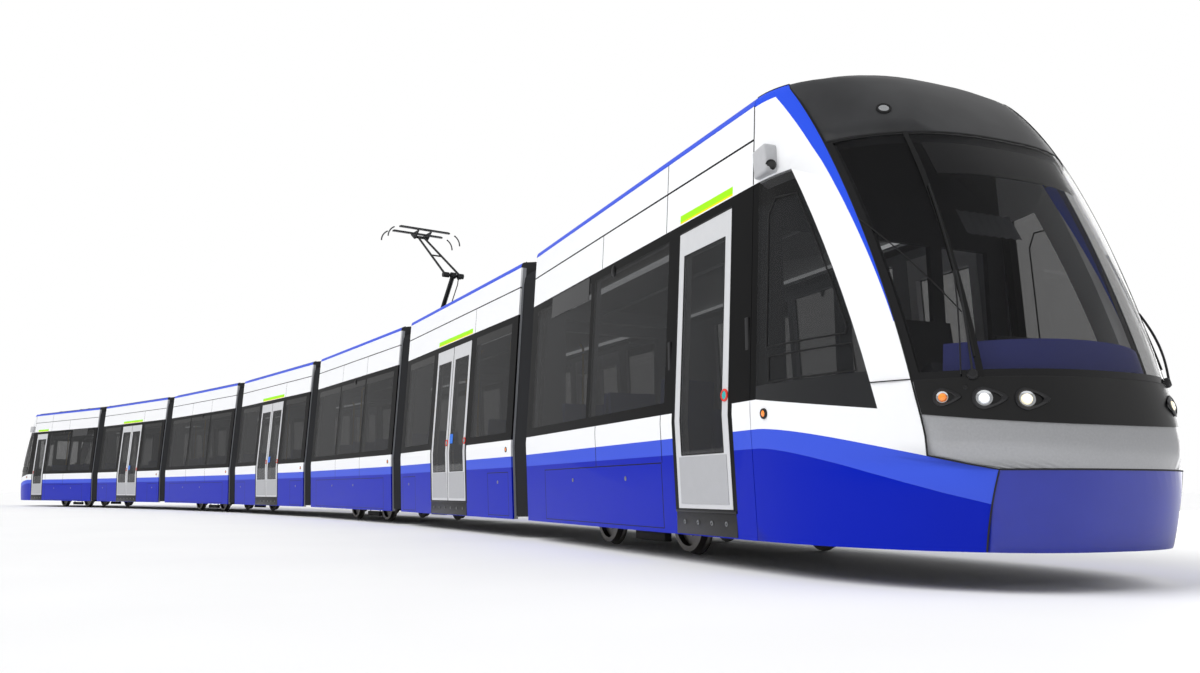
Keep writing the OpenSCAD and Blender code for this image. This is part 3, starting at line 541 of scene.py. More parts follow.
class Stock:
    """The plain finishes, each named for what the real part is made of."""

    # EPDM rubber: black, dry and slightly dusty.
    RUBBER = Plain("extruded_epdm_rubber", "0F0F10", "1A1A1B", 0.62, grain_mm=30)
    # Moulded ABS: black, even and satin.
    ABS = Plain("moulded_black_abs", "161618", "1F1F21", 0.42, grain_mm=12)
    WHITE_ABS = Plain("moulded_white_abs", "BFC0C3", "B2B3B6", 0.4, grain_mm=25)
    # Two-pack paint over fibreglass, with the flake of a silver base coat under lacquer.
    SILVER = Plain("silver_base_coat_under_lacquer", "9C9DA0", "AEAFB2", 0.34, 0.35, 6, 0.02, 0.3)
    BLUE = Plain("blue_two_pack_on_fibreglass", "1A2896", "2432A4", 0.3, 0, 90, 0.03, 0.1)
    BLACK = Plain("black_two_pack_on_fibreglass", "0A0A0B", "101011", 0.3, 0, 90, 0.02, 0.1)
    BORDER = Plain("baked_black_glass_border", "030304", "050506", 0.2, 0, 90, 0.01)
    DOOR = Plain("white_powder_coat", "D2D3D5", "C9CACD", 0.35, grain_mm=40)
    KICK = Plain("grey_powder_coat", "A9AAAD", "B2B3B6", 0.42, grain_mm=40)
    # Cast and rolled steel of the running gear, under brake dust.
    BOGIE = Plain("chassis_paint_under_brake_dust", "1C1C1D", "33302D", 0.6, 0.1, 45, 0.3)
    WHEEL = Plain("turned_wheel_steel", "5D5B58", "77736E", 0.38, 0.9, 8, 0.05)
    DISC = Plain("cast_iron_brake_disc", "3C3936", "54504B", 0.5, 0.8, 10, 0.08)
    STEEL = Plain("brushed_stainless_steel", "A7A9AC", "C2C4C6", 0.28, 1.0, 3, 0.03, stretch=(1, 1, 12))
    ZINC = Plain("zinc_plated_steel", "8A8C8E", "A2A4A5", 0.4, 0.9, 12, 0.05)
    SPRING = Plain("shot_peened_spring_steel", "222325", "3A3B3D", 0.5, 0.5, 6, 0.1)
    CLOTH = Plain("coated_polyester_bellows_cloth", "242527", "313235", 0.68, grain_mm=3, relief_mm=0.12)
    ARM = Plain("grey_pantograph_paint", "17181A", "242527", 0.42, 0.2, 20, 0.06)
    CARBON = Plain("pressed_carbon_strip", "1B1B1C", "2A2A2B", 0.55, 0.1, 4, 0.1)
    HORN = Plain("bare_aluminium_extrusion", "4A4B4D", "5E5F61", 0.35, 0.9, 8, 0.04)
    POLE = Plain("yellow_powder_coat", "E4B61A", "D8A915", 0.35, grain_mm=20)
    SIGN = Plain("unlit_led_display", "101114", "16171B", 0.2, grain_mm=4, relief_mm=0.02, coat=0.5)
    MIRRORED = Plain("aluminised_reflector", "C9CCD0", "E4E6E8", 0.12, 0.95, 10, 0.02)
    AMBER = Plain("amber_polycarbonate_lens", "F07A1C", "F79A48", 0.12, grain_mm=8, coat=0.7, glow=0.35)
    WHITE_LAMP = Plain("halogen_lamp_glass", "E8ECF2", "FFFFFF", 0.08, grain_mm=8, coat=0.8, glow=0.5)
    WARM_LAMP = Plain("lit_halogen_lamp_glass", "F6E7C2", "FFF6DC", 0.08, grain_mm=8, coat=0.8, glow=0.9)
    RED = Plain("red_polycarbonate", "D8261C", "E8402E", 0.25, grain_mm=8, coat=0.4, glow=0.1)
    TEAL = Plain("teal_silicone_button", "23A6A8", "35B7B6", 0.4, grain_mm=8)
    PICTOGRAM = Plain("blue_vinyl_sticker", "1C6FE0", "2478E6", 0.35, grain_mm=30)
    TUBE_LIGHT = Plain("frosted_light_cover", "F4F6F8", "FFFFFF", 0.4, grain_mm=30, glow=0.5)
    COWL = Plain("violet_blue_dashboard_cowl", "4C529E", "565CAA", 0.5, grain_mm=3, relief_mm=0.05)
    FABRIC = Plain("grey_sunblind_cloth", "5B5D61", "67696D", 0.8, grain_mm=3, relief_mm=0.1)


# ---- Modelling steps ----


class Bench:
    """Modelling steps that the sub-assemblies share. All sizes are metres in a car's own frame."""

    @staticmethod
    def clear() -> None:
        """Leaves nothing selected."""
        bpy.ops.object.select_all(action="DESELECT")

    @classmethod
    def pick(cls, piece: Piece) -> None:
        """Selects one object alone."""
        cls.clear()
        piece.select_set(True)
        bpy.context.view_layer.objects.active = piece

    @classmethod
    def block(cls, low: Sequence[float], high: Sequence[float], bevel: float = 0.0,
              segments: int = 2) -> Piece:
        """A block with rounded edges.

        Args:
            low: Its lowest corner.
            high: Its highest corner.
            bevel: Radius of its edges.
            segments: Steps in each rounded edge.

        Returns:
            The new object.
        """
        cls.clear()
        low, high = Vector(low), Vector(high)
        bpy.ops.mesh.primitive_cube_add(size=1, location=(low + high) / 2, scale=high - low)
        piece = bpy.context.object
        bpy.ops.object.transform_apply(location=True, rotation=True, scale=True)
        if bevel:
            bpy.ops.object.mode_set(mode="EDIT")
            bpy.ops.mesh.select_all(action="SELECT")
            bpy.ops.mesh.bevel(offset=bevel, segments=segments, affect="EDGES")
            bpy.ops.object.mode_set(mode="OBJECT")
        return piece

    @classmethod
    def sheet(cls, shape: Callable[[float, float], Vector], columns: int, rows: int,
              thickness: float = 0.0) -> Piece:
        """A curved sheet.

        Args:
            shape: Gives a place from two shares, each from 0 to 1.
            columns: Steps along the first share.
            rows: Steps along the second share.
            thickness: How far the sheet is thickened inwards, both ways from its skin.

        Returns:
            The new object.
        """
        cls.clear()
        bpy.ops.mesh.primitive_grid_add(x_subdivisions=columns, y_subdivisions=rows, size=2)
        piece = bpy.context.object
        for vertex in piece.data.vertices:
            vertex.co = shape((vertex.co.x + 1) / 2, (vertex.co.y + 1) / 2)
        if thickness:
            cls.modify(piece, "SOLIDIFY", thickness=thickness, offset=0)
        return piece

    @classmethod
    def modify(cls, piece: Piece, kind: str, **settings: object) -> None:
        """Adds a modifier, sets it and applies it."""
        cls.pick(piece)
        bpy.ops.object.modifier_add(type=kind)
        modifier = piece.modifiers[-1]
        for key, value in settings.items():
            setattr(modifier, key, value)
        bpy.ops.object.modifier_apply(modifier=modifier.name)

    @classmethod
    def tube(cls, route: Sequence[Sequence[float]], radius: float, sides: int = 8,
             closed: bool = False) -> Piece:
        """A round bar along a route.

        Args:
            route: The points that it follows.
            radius: Its radius.
            sides: Its sides, an even number.
            closed: Whether it ends where it starts.

        Returns:
            The new object.
        """
        curve = bpy.data.curves.new("route", "CURVE")
        curve.dimensions = "3D"
        spline = curve.splines.new("POLY")
        spline.points.add(len(route) - 1)
        for point, place in zip(spline.points, route):
            point.co = (*place, 1)
        spline.use_cyclic_u = closed
        curve.bevel_depth, curve.bevel_resolution = radius, sides // 2 - 2
        curve.use_fill_caps = not closed
        piece = bpy.data.objects.new("tube", curve)
        bpy.context.scene.collection.objects.link(piece)
        cls.pick(piece)
        bpy.ops.object.convert(target="MESH")
        return bpy.context.object

    @classmethod
    def turned(cls, outline: Sequence[Pair], centre: Sequence[float], axis: Sequence[float],
               steps: int = 24) -> Piece:
        """A piece turned on a lathe.

        Args:
            outline: Closed outline as radius and height pairs, in millimetres.
            centre: Where height zero lies.
            axis: Direction of the height.
            steps: Steps round the piece.

        Returns:
            The new object.
        """
        cls.clear()
        bpy.ops.mesh.primitive_circle_add(vertices=len(outline), radius=1)
        piece = bpy.context.object
        for vertex, (radius, height) in zip(piece.data.vertices, outline):
            vertex.co = (radius * MM, 0, height * MM)
        bpy.ops.object.mode_set(mode="EDIT")
        bpy.ops.mesh.select_all(action="SELECT")
        bpy.ops.mesh.spin(steps=steps, angle=2 * math.pi, center=(0, 0, 0), axis=(0, 0, 1))
        bpy.ops.mesh.select_all(action="SELECT")
        bpy.ops.mesh.remove_doubles(threshold=1e-6)
        bpy.ops.mesh.delete_loose()
        bpy.ops.mesh.select_all(action="SELECT")
        bpy.ops.mesh.normals_make_consistent(inside=False)
        bpy.ops.object.mode_set(mode="OBJECT")
        turn = Vector(axis).to_track_quat("Z", "Y").to_matrix().to_4x4()
        piece.data.transform(Matrix.Translation(Vector(centre)) @ turn)
        return piece

    @classmethod
    def twin(cls, piece: Piece, change: Matrix) -> Piece:
        """A copy of a piece with its own mesh, moved or mirrored."""
        copy = piece.copy()
        copy.data = piece.data.copy()
        bpy.context.scene.collection.objects.link(copy)
        copy.data.transform(change)
        if change.determinant() < 0:
            copy.data.flip_normals()
        return copy

    @classmethod
    def both_sides(cls, piece: Piece) -> list[Piece]:
        """A piece and its mirror image on the car's other side."""
        return [piece, cls.twin(piece, Matrix.Scale(-1, 4, (0, 1, 0)))]

    @classmethod
    def paint(cls, finish: Plain, *pieces: Piece) -> list[Piece]:
        """Gives pieces a finish."""
        for piece in pieces:
            piece.data.materials.clear()
            piece.data.materials.append(finish.make())
        return list(pieces)

    @classmethod
    def fit(cls, name: str, parts: Iterable[Piece], body: str, slot: str, car: int | None = None,
            angle: float = 35) -> Piece:
        """Joins parts to one piece, smooths it, puts it in its place and lets it ride.

        Args:
            name: The piece's name.
            parts: The painted parts.
            body: The body it rides on.
            slot: The record's material slot; not used.
            car: The car in whose frame the parts are, or None for the shared frame.
            angle: Edges sharper than this many degrees stay sharp.

        Returns:
            The finished piece.
        """
        parts = list(parts)
        cls.clear()
        for part in parts:
            part.select_set(True)
        bpy.context.view_layer.objects.active = parts[0]
        if len(parts) > 1:
            bpy.ops.object.join()
        piece = bpy.context.view_layer.objects.active
        piece.name = piece.data.name = name
        if car:
            piece.data.transform(PLAN.placement(car))
        bpy.ops.object.shade_smooth_by_angle(angle=math.radians(angle))
        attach(piece, body)
        LOG.info("%s: %d faces on %s", name, len(piece.data.polygons), body)
        return piece

    @classmethod
    def fit_twice(cls, name: str, parts: Iterable[Piece], car: int, slot: str) -> Piece:
        """Fits parts of a car's left side together with their mirror images on the right."""
        both = [piece for part in parts for piece in cls.both_sides(part)]
        return cls.fit(name, both, f"car_{car}", slot, car)


# ---- Sub-assemblies ----


class Shells:
    """Coats for the nodes of the design, with smoothed copies where the nose is curved."""

    curved = ("walls", "roof", "glazing", "windscreen")
    bumper_top = 0.333
    joint = 0.0005

    def coat(self, node: str) -> bpy.types.Material:
        """The finish of a node of the design."""
        if node.startswith("pantograph"):
            return (Stock.HORN if node.endswith("head") else Stock.ARM).make()
        car, kind = int(node.split("_")[1]), node.split("_", 2)[2]
        for_car = {"walls": Livery, "roof": RoofCoat, "glazing": TintedGlass,
                   "windscreen": TintedGlass, "floor": FloorCoverings}
        if kind in for_car:
            return self.once(for_car[kind](car))
        plain = {"doors": Stock.DOOR, "mask": Stock.SILVER, "bogie_frame": Stock.BOGIE}
        return plain.get(kind, Stock.WHEEL).make()

    def __init__(self) -> None:
        """Starts with no finish made."""
        self.made: dict[object, bpy.types.Material] = {}

    def once(self, finish: Livery | RoofCoat | TintedGlass | FloorCoverings) -> bpy.types.Material:
        """Makes a car's finish the first time it is asked for."""
        if finish not in self.made:
            self.made[finish] = finish.make()
        return self.made[finish]

    def build(self) -> None:
        """Coats every node, and stands smoothed copies in for the curved ones."""
        for name, node in sorted(frame["nodes"].items()):
            if name.startswith("bellows"):
                continue
            node.data.materials.clear()
            node.data.materials.append(self.coat(name))
        for car in CAB_CARS:
            for kind in self.curved:
                self.smooth(f"car_{car}_{kind}", f"car_{car}", f"car_{car}_{kind}_skin")
            # The mask's copy is parted at the bumper's upper edge, and the lower part is painted blue.
            self.smooth(f"car_{car}_mask", f"car_{car}", f"car_{car}_silver_band", above=True)
            bumper = self.smooth(f"car_{car}_mask", f"car_{car}", f"car_{car}_bumper", above=False)
            Bench.paint(Stock.BLUE, bumper)

    def smooth(self, node: str, body: str, name: str, above: bool | None = None) -> Piece:
        """Stands a welded, smoothly shaded copy in for a node.

        Args:
            node: The node of the design.
            body: The body that the copy rides on.
            name: The copy's name.
            above: Whether only what is above the bumper's upper edge is kept, or only what is
                below it; None keeps all.

        Returns:
            The finished copy.
        """
        copy = bpy.data.objects.new(name, frame["nodes"][node].data.copy())
        bpy.context.scene.collection.objects.link(copy)
        Bench.pick(copy)
        bpy.ops.object.mode_set(mode="EDIT")
        bpy.ops.mesh.select_all(action="SELECT")
        bpy.ops.mesh.remove_doubles(threshold=2e-5)
        if above is not None:
            bpy.ops.mesh.select_all(action="SELECT")
            height = PLAN.flange + self.bumper_top + (self.joint if above else -self.joint)
            bpy.ops.mesh.bisect(plane_co=(0, 0, height), plane_no=(0, 0, 1), use_fill=True,
                                clear_inner=above, clear_outer=not above)
        bpy.ops.object.mode_set(mode="OBJECT")
        slot = next(s["material_slot"] for s in frame["record"]["subparts"] if s["node"] == node)
        piece = Bench.fit(name, [copy], body, slot, angle=28)
        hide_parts(node)
        return piece


@dataclass
class Bellows:
    """Pleated cloth sleeve between two cars."""

    ahead: int
    inset: float = 0.026
    depth: float = 0.030
    pleats: int = 9
    low: float = 0.12
    top: float = 1.682
    band: float = 0.03

    def outline(self, deep: float) -> list[Pair]:
        """The sleeve's section from the left foot over the roof to the right foot."""
        edge = [(PLAN.side(self.low), self.low), (PLAN.side(0.3), 0.3), (PLAN.half_w, 0.555),
                (PLAN.side(0.9), 0.9), (PLAN.side(1.25), 1.25), (PLAN.side(1.6), 1.6)]
        points = [(w - self.inset - deep, z) for w, z in edge]
        w = PLAN.side(1.65) - self.inset - deep
        points += [(w - 0.06 * (1 - math.cos(a)), 1.62 + (self.top - 1.62 - deep) * math.sin(a))
                   for a in (math.radians(22 * i) for i in range(1, 5))]
        points += [(0.38, self.top - deep), (0.19, self.top - deep + 0.002), (0.0, self.top - deep + 0.003)]
        return points + [(-y, z) for y, z in reversed(points[:-1])]

    def build(self) -> None:
        """Builds the sleeve, curved between its cars."""
        behind = self.ahead + 1
        middle = PLAN.knuckle(self.ahead)
        start, end = [middle + Vector((math.cos(PLAN.heading(c)), math.sin(PLAN.heading(c)), 0)) * half
                      for c, half in ((behind, -PLAN.gap / 2), (self.ahead, PLAN.gap / 2))]
        steps = self.pleats * 4

        def place(u: float, v: float) -> Vector:
            """A place on the sleeve from its shares along and round it."""
            i = round(u * steps)
            fold = (0, 0.5, 1, 0.5)[i % 4]
            ring = self.outline(self.depth * fold)
            y, z = ring[min(round(v * (len(ring) - 1)), len(ring) - 1)]
            turn = PLAN.heading(behind) + PLAN.bend * u
            along = start.lerp(end, u)
            return Vector((along.x - y * math.sin(turn), along.y + y * math.cos(turn), z + PLAN.flange))

        sleeve = Bench.sheet(place, steps, len(self.outline(0)) - 1, 0.003)
        Bench.pick(sleeve)
        bpy.ops.object.mode_set(mode="EDIT")
        bpy.ops.mesh.select_all(action="SELECT")
        bpy.ops.mesh.normals_make_consistent(inside=False)
        bpy.ops.object.mode_set(mode="OBJECT")
        Bench.paint(Stock.CLOTH, sleeve)
        name = f"bellows_{self.ahead}_{behind}_pleats"
        sleeve.name = sleeve.data.name = name
        bpy.ops.object.shade_smooth_by_angle(angle=math.radians(50))
        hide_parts(f"bellows_{self.ahead}_{behind}")
        tuple(start)
        tuple(end)
        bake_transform(sleeve)
        LOG.info("%s: %d faces between cars %d and %d", name, len(sleeve.data.polygons), self.ahead, behind)


class Outline:
    """Closed outlines of turned pieces, as radius and height pairs in millimetres."""

    BUTTON_RING = ((17, -2), (24, -2), (24.5, 4), (21, 7), (16.5, 6))
    BUTTON_CAP = ((0, -2), (16.5, -2), (16, 4), (12, 5.5), (0, 6))
    STEP_SCREW = ((4, -4), (9, -4), (9.5, 3.5), (7.5, 5), (4, 3.6))
    MARKER_RING = ((12, -3), (18, -3), (17, 3), (12, 4.2))
    MARKER_LENS = ((0, -3), (12, -3), (12, 2), (8.4, 5), (0, 6.5))
    NOSE_MARKER_RING = ((12, -3), (19, -3), (18, 3), (12, 4.2))
    NOSE_MARKER_LENS = ((0, -3), (12, -3), (12, 2), (8, 5), (0, 6.5))
    EYE_SHELL = ((0, -4), (20, -4), (19, 4), (12, 9), (0, 10))
    LATCH = ((0, -2), (11, -2), (11, 1), (8, 3), (4, 1.2), (0, 1))
    PLUG = ((0, 0), (8, 0), (8, 3), (5, 5), (0, 4))
    WIPER_HUB = ((0, 0), (16, 0), (16, 10), (11, 17), (0, 18))
    POD_EYE = ((0, 0), (20, 0), (20, 6), (13, 10), (0, 7))
    BEACON_RING = ((19, -2), (26, -2), (26, 3), (21, 6), (19, 4))
    BEACON_LENS = ((0, -2), (19, -2), (18, 3), (10, 6), (0, 7))
    KNOB = ((0, 0), (12, 0), (10, 12), (6, 30), (13, 45), (12, 60), (0, 64))
    ROOF_BOLT = ((0, 0), (7, 0), (7, 4), (5, 6), (0, 6))
    AXLE_COVER = ((0, 0), (42, 0), (42, 4), (36, 11), (20, 12), (16, 9), (0, 9))
    COVER_BOLT = ((0, 0), (4.5, 0), (4.5, 4), (0, 4.5))
    WHEEL_BOLT = ((0, 0), (6, 0), (6, 5), (0, 6))
    BRAKE_DISC = ((40, -6), (88, -6), (88, -1), (80, 2), (45, 2))

    @staticmethod
    def headlamp(r: float) -> tuple[list[Pair], list[Pair], list[Pair]]:
        """Bezel, bowl and lens of a headlamp whose glass has the radius r."""
        return ([(r, 1), (r + 4, 1), (r + 10, 3), (r + 9, 6.2), (r + 3, 8.5), (r, 6)],
                [(0, 2), (r * 0.5, 2.2), (r * 0.96, 6), (r * 0.99, 3), (0, 0.5)],
                [(0, 4), (r * 0.62, 4), (r * 0.58, 8), (r * 0.36, 10.5), (0, 11.5)])


@dataclass
class Doorway:
    """Trim of one car's doors: edge rubbers, buttons, stickers and the step below."""

    car: int
    leaf: float = 0.39
    low: float = 0.203
    top: float = 1.355
    middle: float = 1.25
    frame: float = 0.05
    glass: Pair = (0.416, 1.25)
    kick: Pair = (0.223, 0.408)
    button_z: float = 0.628
    button_in: float = 0.02

    def leaves(self) -> list[Pair]:
        """Start and end of each leaf."""
        if self.car in CAB_CARS:
            return [(1.97, 2.41)]
        return [(self.middle - self.leaf, self.middle), (self.middle, self.middle + self.leaf)]

    def strip(self, x: float, half: float, z0: float, z1: float, out: float) -> Piece:
        """An upright rubber strip that follows the wall's lean."""
        heights = (z0, (z0 + 0.555) / 2, 0.555, 0.9, z1)
        return Bench.tube([(x, PLAN.side(z) + out, z) for z in heights], half)

    def bar(self, x0: float, x1: float, z: float, out: float, half: float) -> Piece:
        """A level rubber strip on the wall."""
        return Bench.tube([(x, PLAN.side(z) + out, z) for x in (x0, x1)], half)

    def flat(self, x0: float, x1: float, z0: float, z1: float, out: float,
             thick: float = 0.003) -> Piece:
        """A flat piece that follows the wall's lean."""
        def place(u: float, v: float) -> Vector:
            """A place on the piece from its shares along and up."""
            z = z0 + (z1 - z0) * v
            return Vector((x1 - (x1 - x0) * u, PLAN.side(z) + out, z))

        return Bench.sheet(place, 2, 6, thick)

    def rubbers(self, ends: Pair) -> list[Piece]:
        """Rubbers round the leaves and round their glass."""
        rubber = []
        for x0, x1 in self.leaves():
            rubber += [self.strip(x, 0.0042, self.low, self.top, -0.002) for x in (x0, x1)]
            inner = (x0 + self.frame, x1 - self.frame)
            rubber += [self.strip(x, 0.0025, *self.glass, -0.0005) for x in inner]
            rubber += [self.bar(*inner, z, -0.0005, 0.0025) for z in self.glass]
        rubber += [self.bar(*ends, z, -0.002, 0.0045) for z in (self.low - 0.002, self.top + 0.002)]
        return Bench.paint(Stock.RUBBER, *rubber)

    def buttons(self) -> list[Piece]:
        """Push buttons at the leaves' edges, and the sticker on double doors."""
        double = self.car not in CAB_CARS
        edges = (self.middle, self.middle + self.leaf)
        spots = [edge - self.button_in for edge in edges] if double else [2.383]
        parts = []
        for x in spots:
            at, axis = (x, PLAN.side(self.button_z), self.button_z), (0, 1, 0.02)
            parts += Bench.paint(Stock.RED, Bench.turned(Outline.BUTTON_RING, at, axis))
            parts += Bench.paint(Stock.TEAL, Bench.turned(Outline.BUTTON_CAP, at, axis))
        if double:
            parts += Bench.paint(Stock.PICTOGRAM, self.flat(1.29, 1.36, 0.62, 0.69, 0.001, 0.0015))
        return parts

    def step(self, ends: Pair) -> list[Piece]:
        """The black step below the leaves, with its lip and screws."""
        y, x0, x1 = PLAN.side(0.15), ends[0] - 0.02, ends[1] + 0.02
        tread = Bench.block((x0, y - 0.06, 0.104), (x1, y + 0.002, 0.198), 0.004)
        lip = Bench.block((x0, y - 0.06, 0.19), (x1, y + 0.006, 0.2005), 0.002)
        count = 4 if self.car in CAB_CARS else 6
        pitch = (ends[1] - ends[0]) / count
        places = [(ends[0] + pitch * (i + 0.5), y + 0.001, 0.152) for i in range(count)]
        screws = [Bench.turned(Outline.STEP_SCREW, at, (0, 1, 0), 16) for at in places]
        return Bench.paint(Stock.ABS, tread, lip) + Bench.paint(Stock.ZINC, *screws)

    def build(self) -> None:
        """Builds the trim of both sides."""
        ends = (self.leaves()[0][0], self.leaves()[-1][1])
        rubbers = self.rubbers(ends)
        kick = [self.flat(x0 + 0.03, x1 - 0.03, *self.kick, 0.0006) for x0, x1 in self.leaves()]
        for name, parts, slot in (
            ("door_rubbers", rubbers, "door_paint"),
            ("door_kick_panels", Bench.paint(Stock.KICK, *kick), "door_paint"),
            ("door_buttons", self.buttons(), "door_paint"),
            ("door_steps", self.step(ends), "body_paint"),
        ):
            Bench.fit_twice(f"car_{self.car}_{name}", parts, self.car, slot)


@dataclass
class SideTrim:
    """Small things on a car's sides: marker lamps, eye cameras, blank signs and latches."""

    car: int
    eye_z: float = 1.353
    handle_z: float = 0.85
    latch_z: float = 0.33

    def marker(self) -> list[Piece]:
        """The amber lamp with its rubber ring, on the nose's side or on the wall."""
        if self.car in CAB_CARS:
            x, z = 2.648, 0.539
            at, out = NOSE.at_x(x, z, 1), NOSE.normal(z, NOSE.angle(x, z))
            ring, lens = Outline.NOSE_MARKER_RING, Outline.NOSE_MARKER_LENS
        else:
            at, out = (2.415, PLAN.side(0.534) - 0.001, 0.534), (0, 1, 0)
            ring, lens = Outline.MARKER_RING, Outline.MARKER_LENS
        return (Bench.paint(Stock.RUBBER, Bench.turned(ring, at, out))
                + Bench.paint(Stock.AMBER, Bench.turned(lens, at, out)))

    def build(self) -> None:
        """Builds the trim of both sides."""
        parts = self.marker()
        if self.car not in DOOR_CARS:
            shell = Bench.turned(Outline.EYE_SHELL, (0, 0, 0), (0, 1, 0))
            at = (1.255 if self.car in CAB_CARS else 1.323, PLAN.side(self.eye_z), self.eye_z)
            shell.data.transform(Matrix.Translation(at) @ Matrix.Diagonal((0.8, 1, 1.5, 1)))
            parts += Bench.paint(Stock.BLACK, shell)
        if self.car in CAB_CARS:
            sign = Doorway(self.car).flat(0.352, 0.932, 1.267, 1.388, 0.0012, 0.002)
            parts += Bench.paint(Stock.SIGN, sign)
            y = PLAN.side(self.handle_z)
            handles = [Bench.block((x - 0.012, y - 0.006, 0.72), (x + 0.012, y + 0.0035, 0.9), 0.003)
                       for x in (1.905, 2.535)]
            parts += Bench.paint(Stock.ABS, *handles)
        for x in (0.24, 2.26) if self.car in DOOR_CARS else (0.771, 1.45):
            at = (x, PLAN.side(self.latch_z), self.latch_z)
            parts += Bench.paint(Stock.ZINC, Bench.turned(Outline.LATCH, at, (0, 1, 0), 16))
        Bench.fit_twice(f"car_{self.car}_side_trim", parts, self.car, "body_paint")


@dataclass
class NoseTrim:
    """What is fixed to a cab car's nose: seals, lamps, wipers, camera pods and the blank sign."""

    car: int
    seal: float = 0.0028
    mask_z: float = 0.333
    screen_z: float = 0.598
    dome_z: float = 1.462
    cove_z: float = 1.746
    wiper_z: float = 0.607

    def line(self, route: list[Vector], radius: float | None = None) -> Piece:
        """A rubber seal along a route on the nose."""
        return Bench.tube(route, radius or self.seal, 6)

    def seals(self) -> list[Piece]:
        """Seals between the nose's panels."""
        lines = []
        for left in (1, -1):
            heights = sorted(set(spread(0.102, 1.745, 60) + [self.mask_z, 0.375]))
            lines.append(self.line([NOSE.at_x(NOSE.front_x(z), z, left) for z in heights]))
        for z in (self.mask_z, self.screen_z, self.dome_z):
            a = NOSE.angle(NOSE.front_x(z), z)
            lines.append(self.line([NOSE.point(z, a * share) for share in spread(1, -1, 30)]))
        for left in (1, -1):
            top = spread(2.564, NOSE.arch_x(self.cove_z), 12)
            lines.append(self.line([NOSE.at_x(x, self.cove_z, left) for x in top]))
        for left in (1, -1):
            foot = spread(3.108, NOSE.arch_x(0.603), 8)
            lines.append(self.line([NOSE.at_x(x, 0.603, left) for x in foot], 0.002))
            seam = [Vector((2.5615, left * PLAN.side(z), z)) for z in (1.4, 1.55, 1.711)]
            lines.append(self.line(seam, 0.0024))
            lines += [self.line([NOSE.at_x(x, z, left, 0.001) for x, z in route], 0.0032)
                      for route in self.window_frame()]
        dome = zip(spread(0.35, 0.32, 14), spread(self.dome_z, self.dome_z + 0.33, 14))
        lines.append(self.line([NOSE.at_y(y, z) for y, z in dome], 0.002))
        return Bench.paint(Stock.RUBBER, *lines)

    def window_frame(self) -> list[list[Pair]]:
        """Routes of the rubber frames on the cab's side window: the fixed pane and the sliding one."""
        def edge(z: float) -> float:
            """X of the window's sloping front edge."""
            return NOSE.arch_x(z) - (0.114 + 0.038 * (z - 0.521) / 0.877) - 0.022

        def fill(route: list[Pair]) -> list[Pair]:
            """The route with points close enough to follow the glass."""
            legs = [zip(spread(p[0], q[0], 8)[:-1], spread(p[1], q[1], 8)[:-1])
                    for p, q in zip(route, route[1:])]
            return [point for leg in legs for point in leg] + route[-1:]

        back, foot, slide = 2.665, 0.77, 2.68
        slope = [(edge(z), z) for z in reversed(spread(0.79, 1.30, 12))]
        fixed = [(back, foot), (back, 1.255), (2.70, 1.31), *slope,
                 (edge(0.775) - 0.01, foot), (back, foot)]
        low = [(slide, 0.645), (slide, 0.735), (edge(0.735), 0.735),
               (edge(0.645) - 0.012, 0.645), (slide, 0.645)]
        return [fill(fixed), fill(low)]

    def pillars(self) -> list[Piece]:
        """Black bands up the windscreen where its side panes join the middle one."""
        bands = []
        for left in (1, -1):
            def place(u: float, v: float) -> Vector:
                """A place on the band from its shares across and up."""
                y = left * (0.384 - 0.034 * v + (0.5 - u) * 0.015 * left)
                return NOSE.at_y(y, 0.6 + 0.86 * v, 0.0012)

            bands.append(Bench.sheet(place, 2, 30, 0.002))
        return Bench.paint(Stock.BORDER, *bands)

    def panel(self) -> list[Piece]:
        """The black lamp panel between silver band and windscreen."""
        def place(u: float, v: float) -> Vector:
            """A place on the panel from its shares across and up."""
            low = 0.496 - 0.037 * (1 - abs(2 * u - 1) ** 2.2)
            z = low + (0.597 - low) * v
            a = NOSE.angle(NOSE.arch_x(z), z) * 0.992
            return NOSE.point(z, a * (1 - 2 * u), 0.0012)

        return Bench.paint(Stock.BLACK, Bench.sheet(place, 48, 6, 0.002))

    def lamp(self, y: float, z: float, radius: float, lens: Plain, tail: float = 0.9) -> list[Piece]:
        """A headlamp: dished bezel with a drawn-out corner, reflector and lens.

        Args:
            y: Its distance from the middle plane, positive to the left.
            z: Its height.
            radius: Radius of its glass in metres.
            lens: Finish of the glass.
            tail: How far the bezel's corner is drawn out, as a share.

        Returns:
            The painted parts.
        """
        at = NOSE.at_y(y, z)
        a = math.copysign(math.asin((abs(y) / NOSE.half_width(z)) ** (NOSE.across / 2)), y)
        out = NOSE.normal(z, a)
        shapes = Outline.headlamp(radius / MM)
        bezel = Bench.turned(shapes[0], at, out, 32)
        side = Vector((0, 0, 1)).cross(out).normalized() * math.copysign(1, y)
        for vertex in bezel.data.vertices:
            reach = (vertex.co - at).dot(-side)
            if reach > 0:
                vertex.co -= side * reach * tail
                lift = (vertex.co - at).dot(Vector((0, 0, 1)))
                vertex.co.z -= lift * min(reach / (radius * 3), 0.5)
        parts = Bench.paint(Stock.ABS, bezel)
        parts += Bench.paint(Stock.MIRRORED, Bench.turned(shapes[1], at, out))
        return parts + Bench.paint(lens, Bench.turned(shapes[2], at, out))

    def lamps(self) -> list[Piece]:
        """Both lamp groups."""
        parts = []
        for left in (1, -1):
            parts += self.lamp(left * 0.464, 0.543, 0.018, Stock.AMBER)
            parts += self.lamp(left * 0.388, 0.536, 0.024, Stock.WHITE_LAMP)
            parts += self.lamp(left * 0.295, 0.531, 0.024, Stock.WARM_LAMP)
            at, out = NOSE.at_y(left * 0.42, 0.571), NOSE.normal(0.571, left * 0.6)
            plug = Bench.turned(Outline.PLUG, at, out, 16)
            parts += Bench.paint(Stock.RUBBER, plug)
        return parts

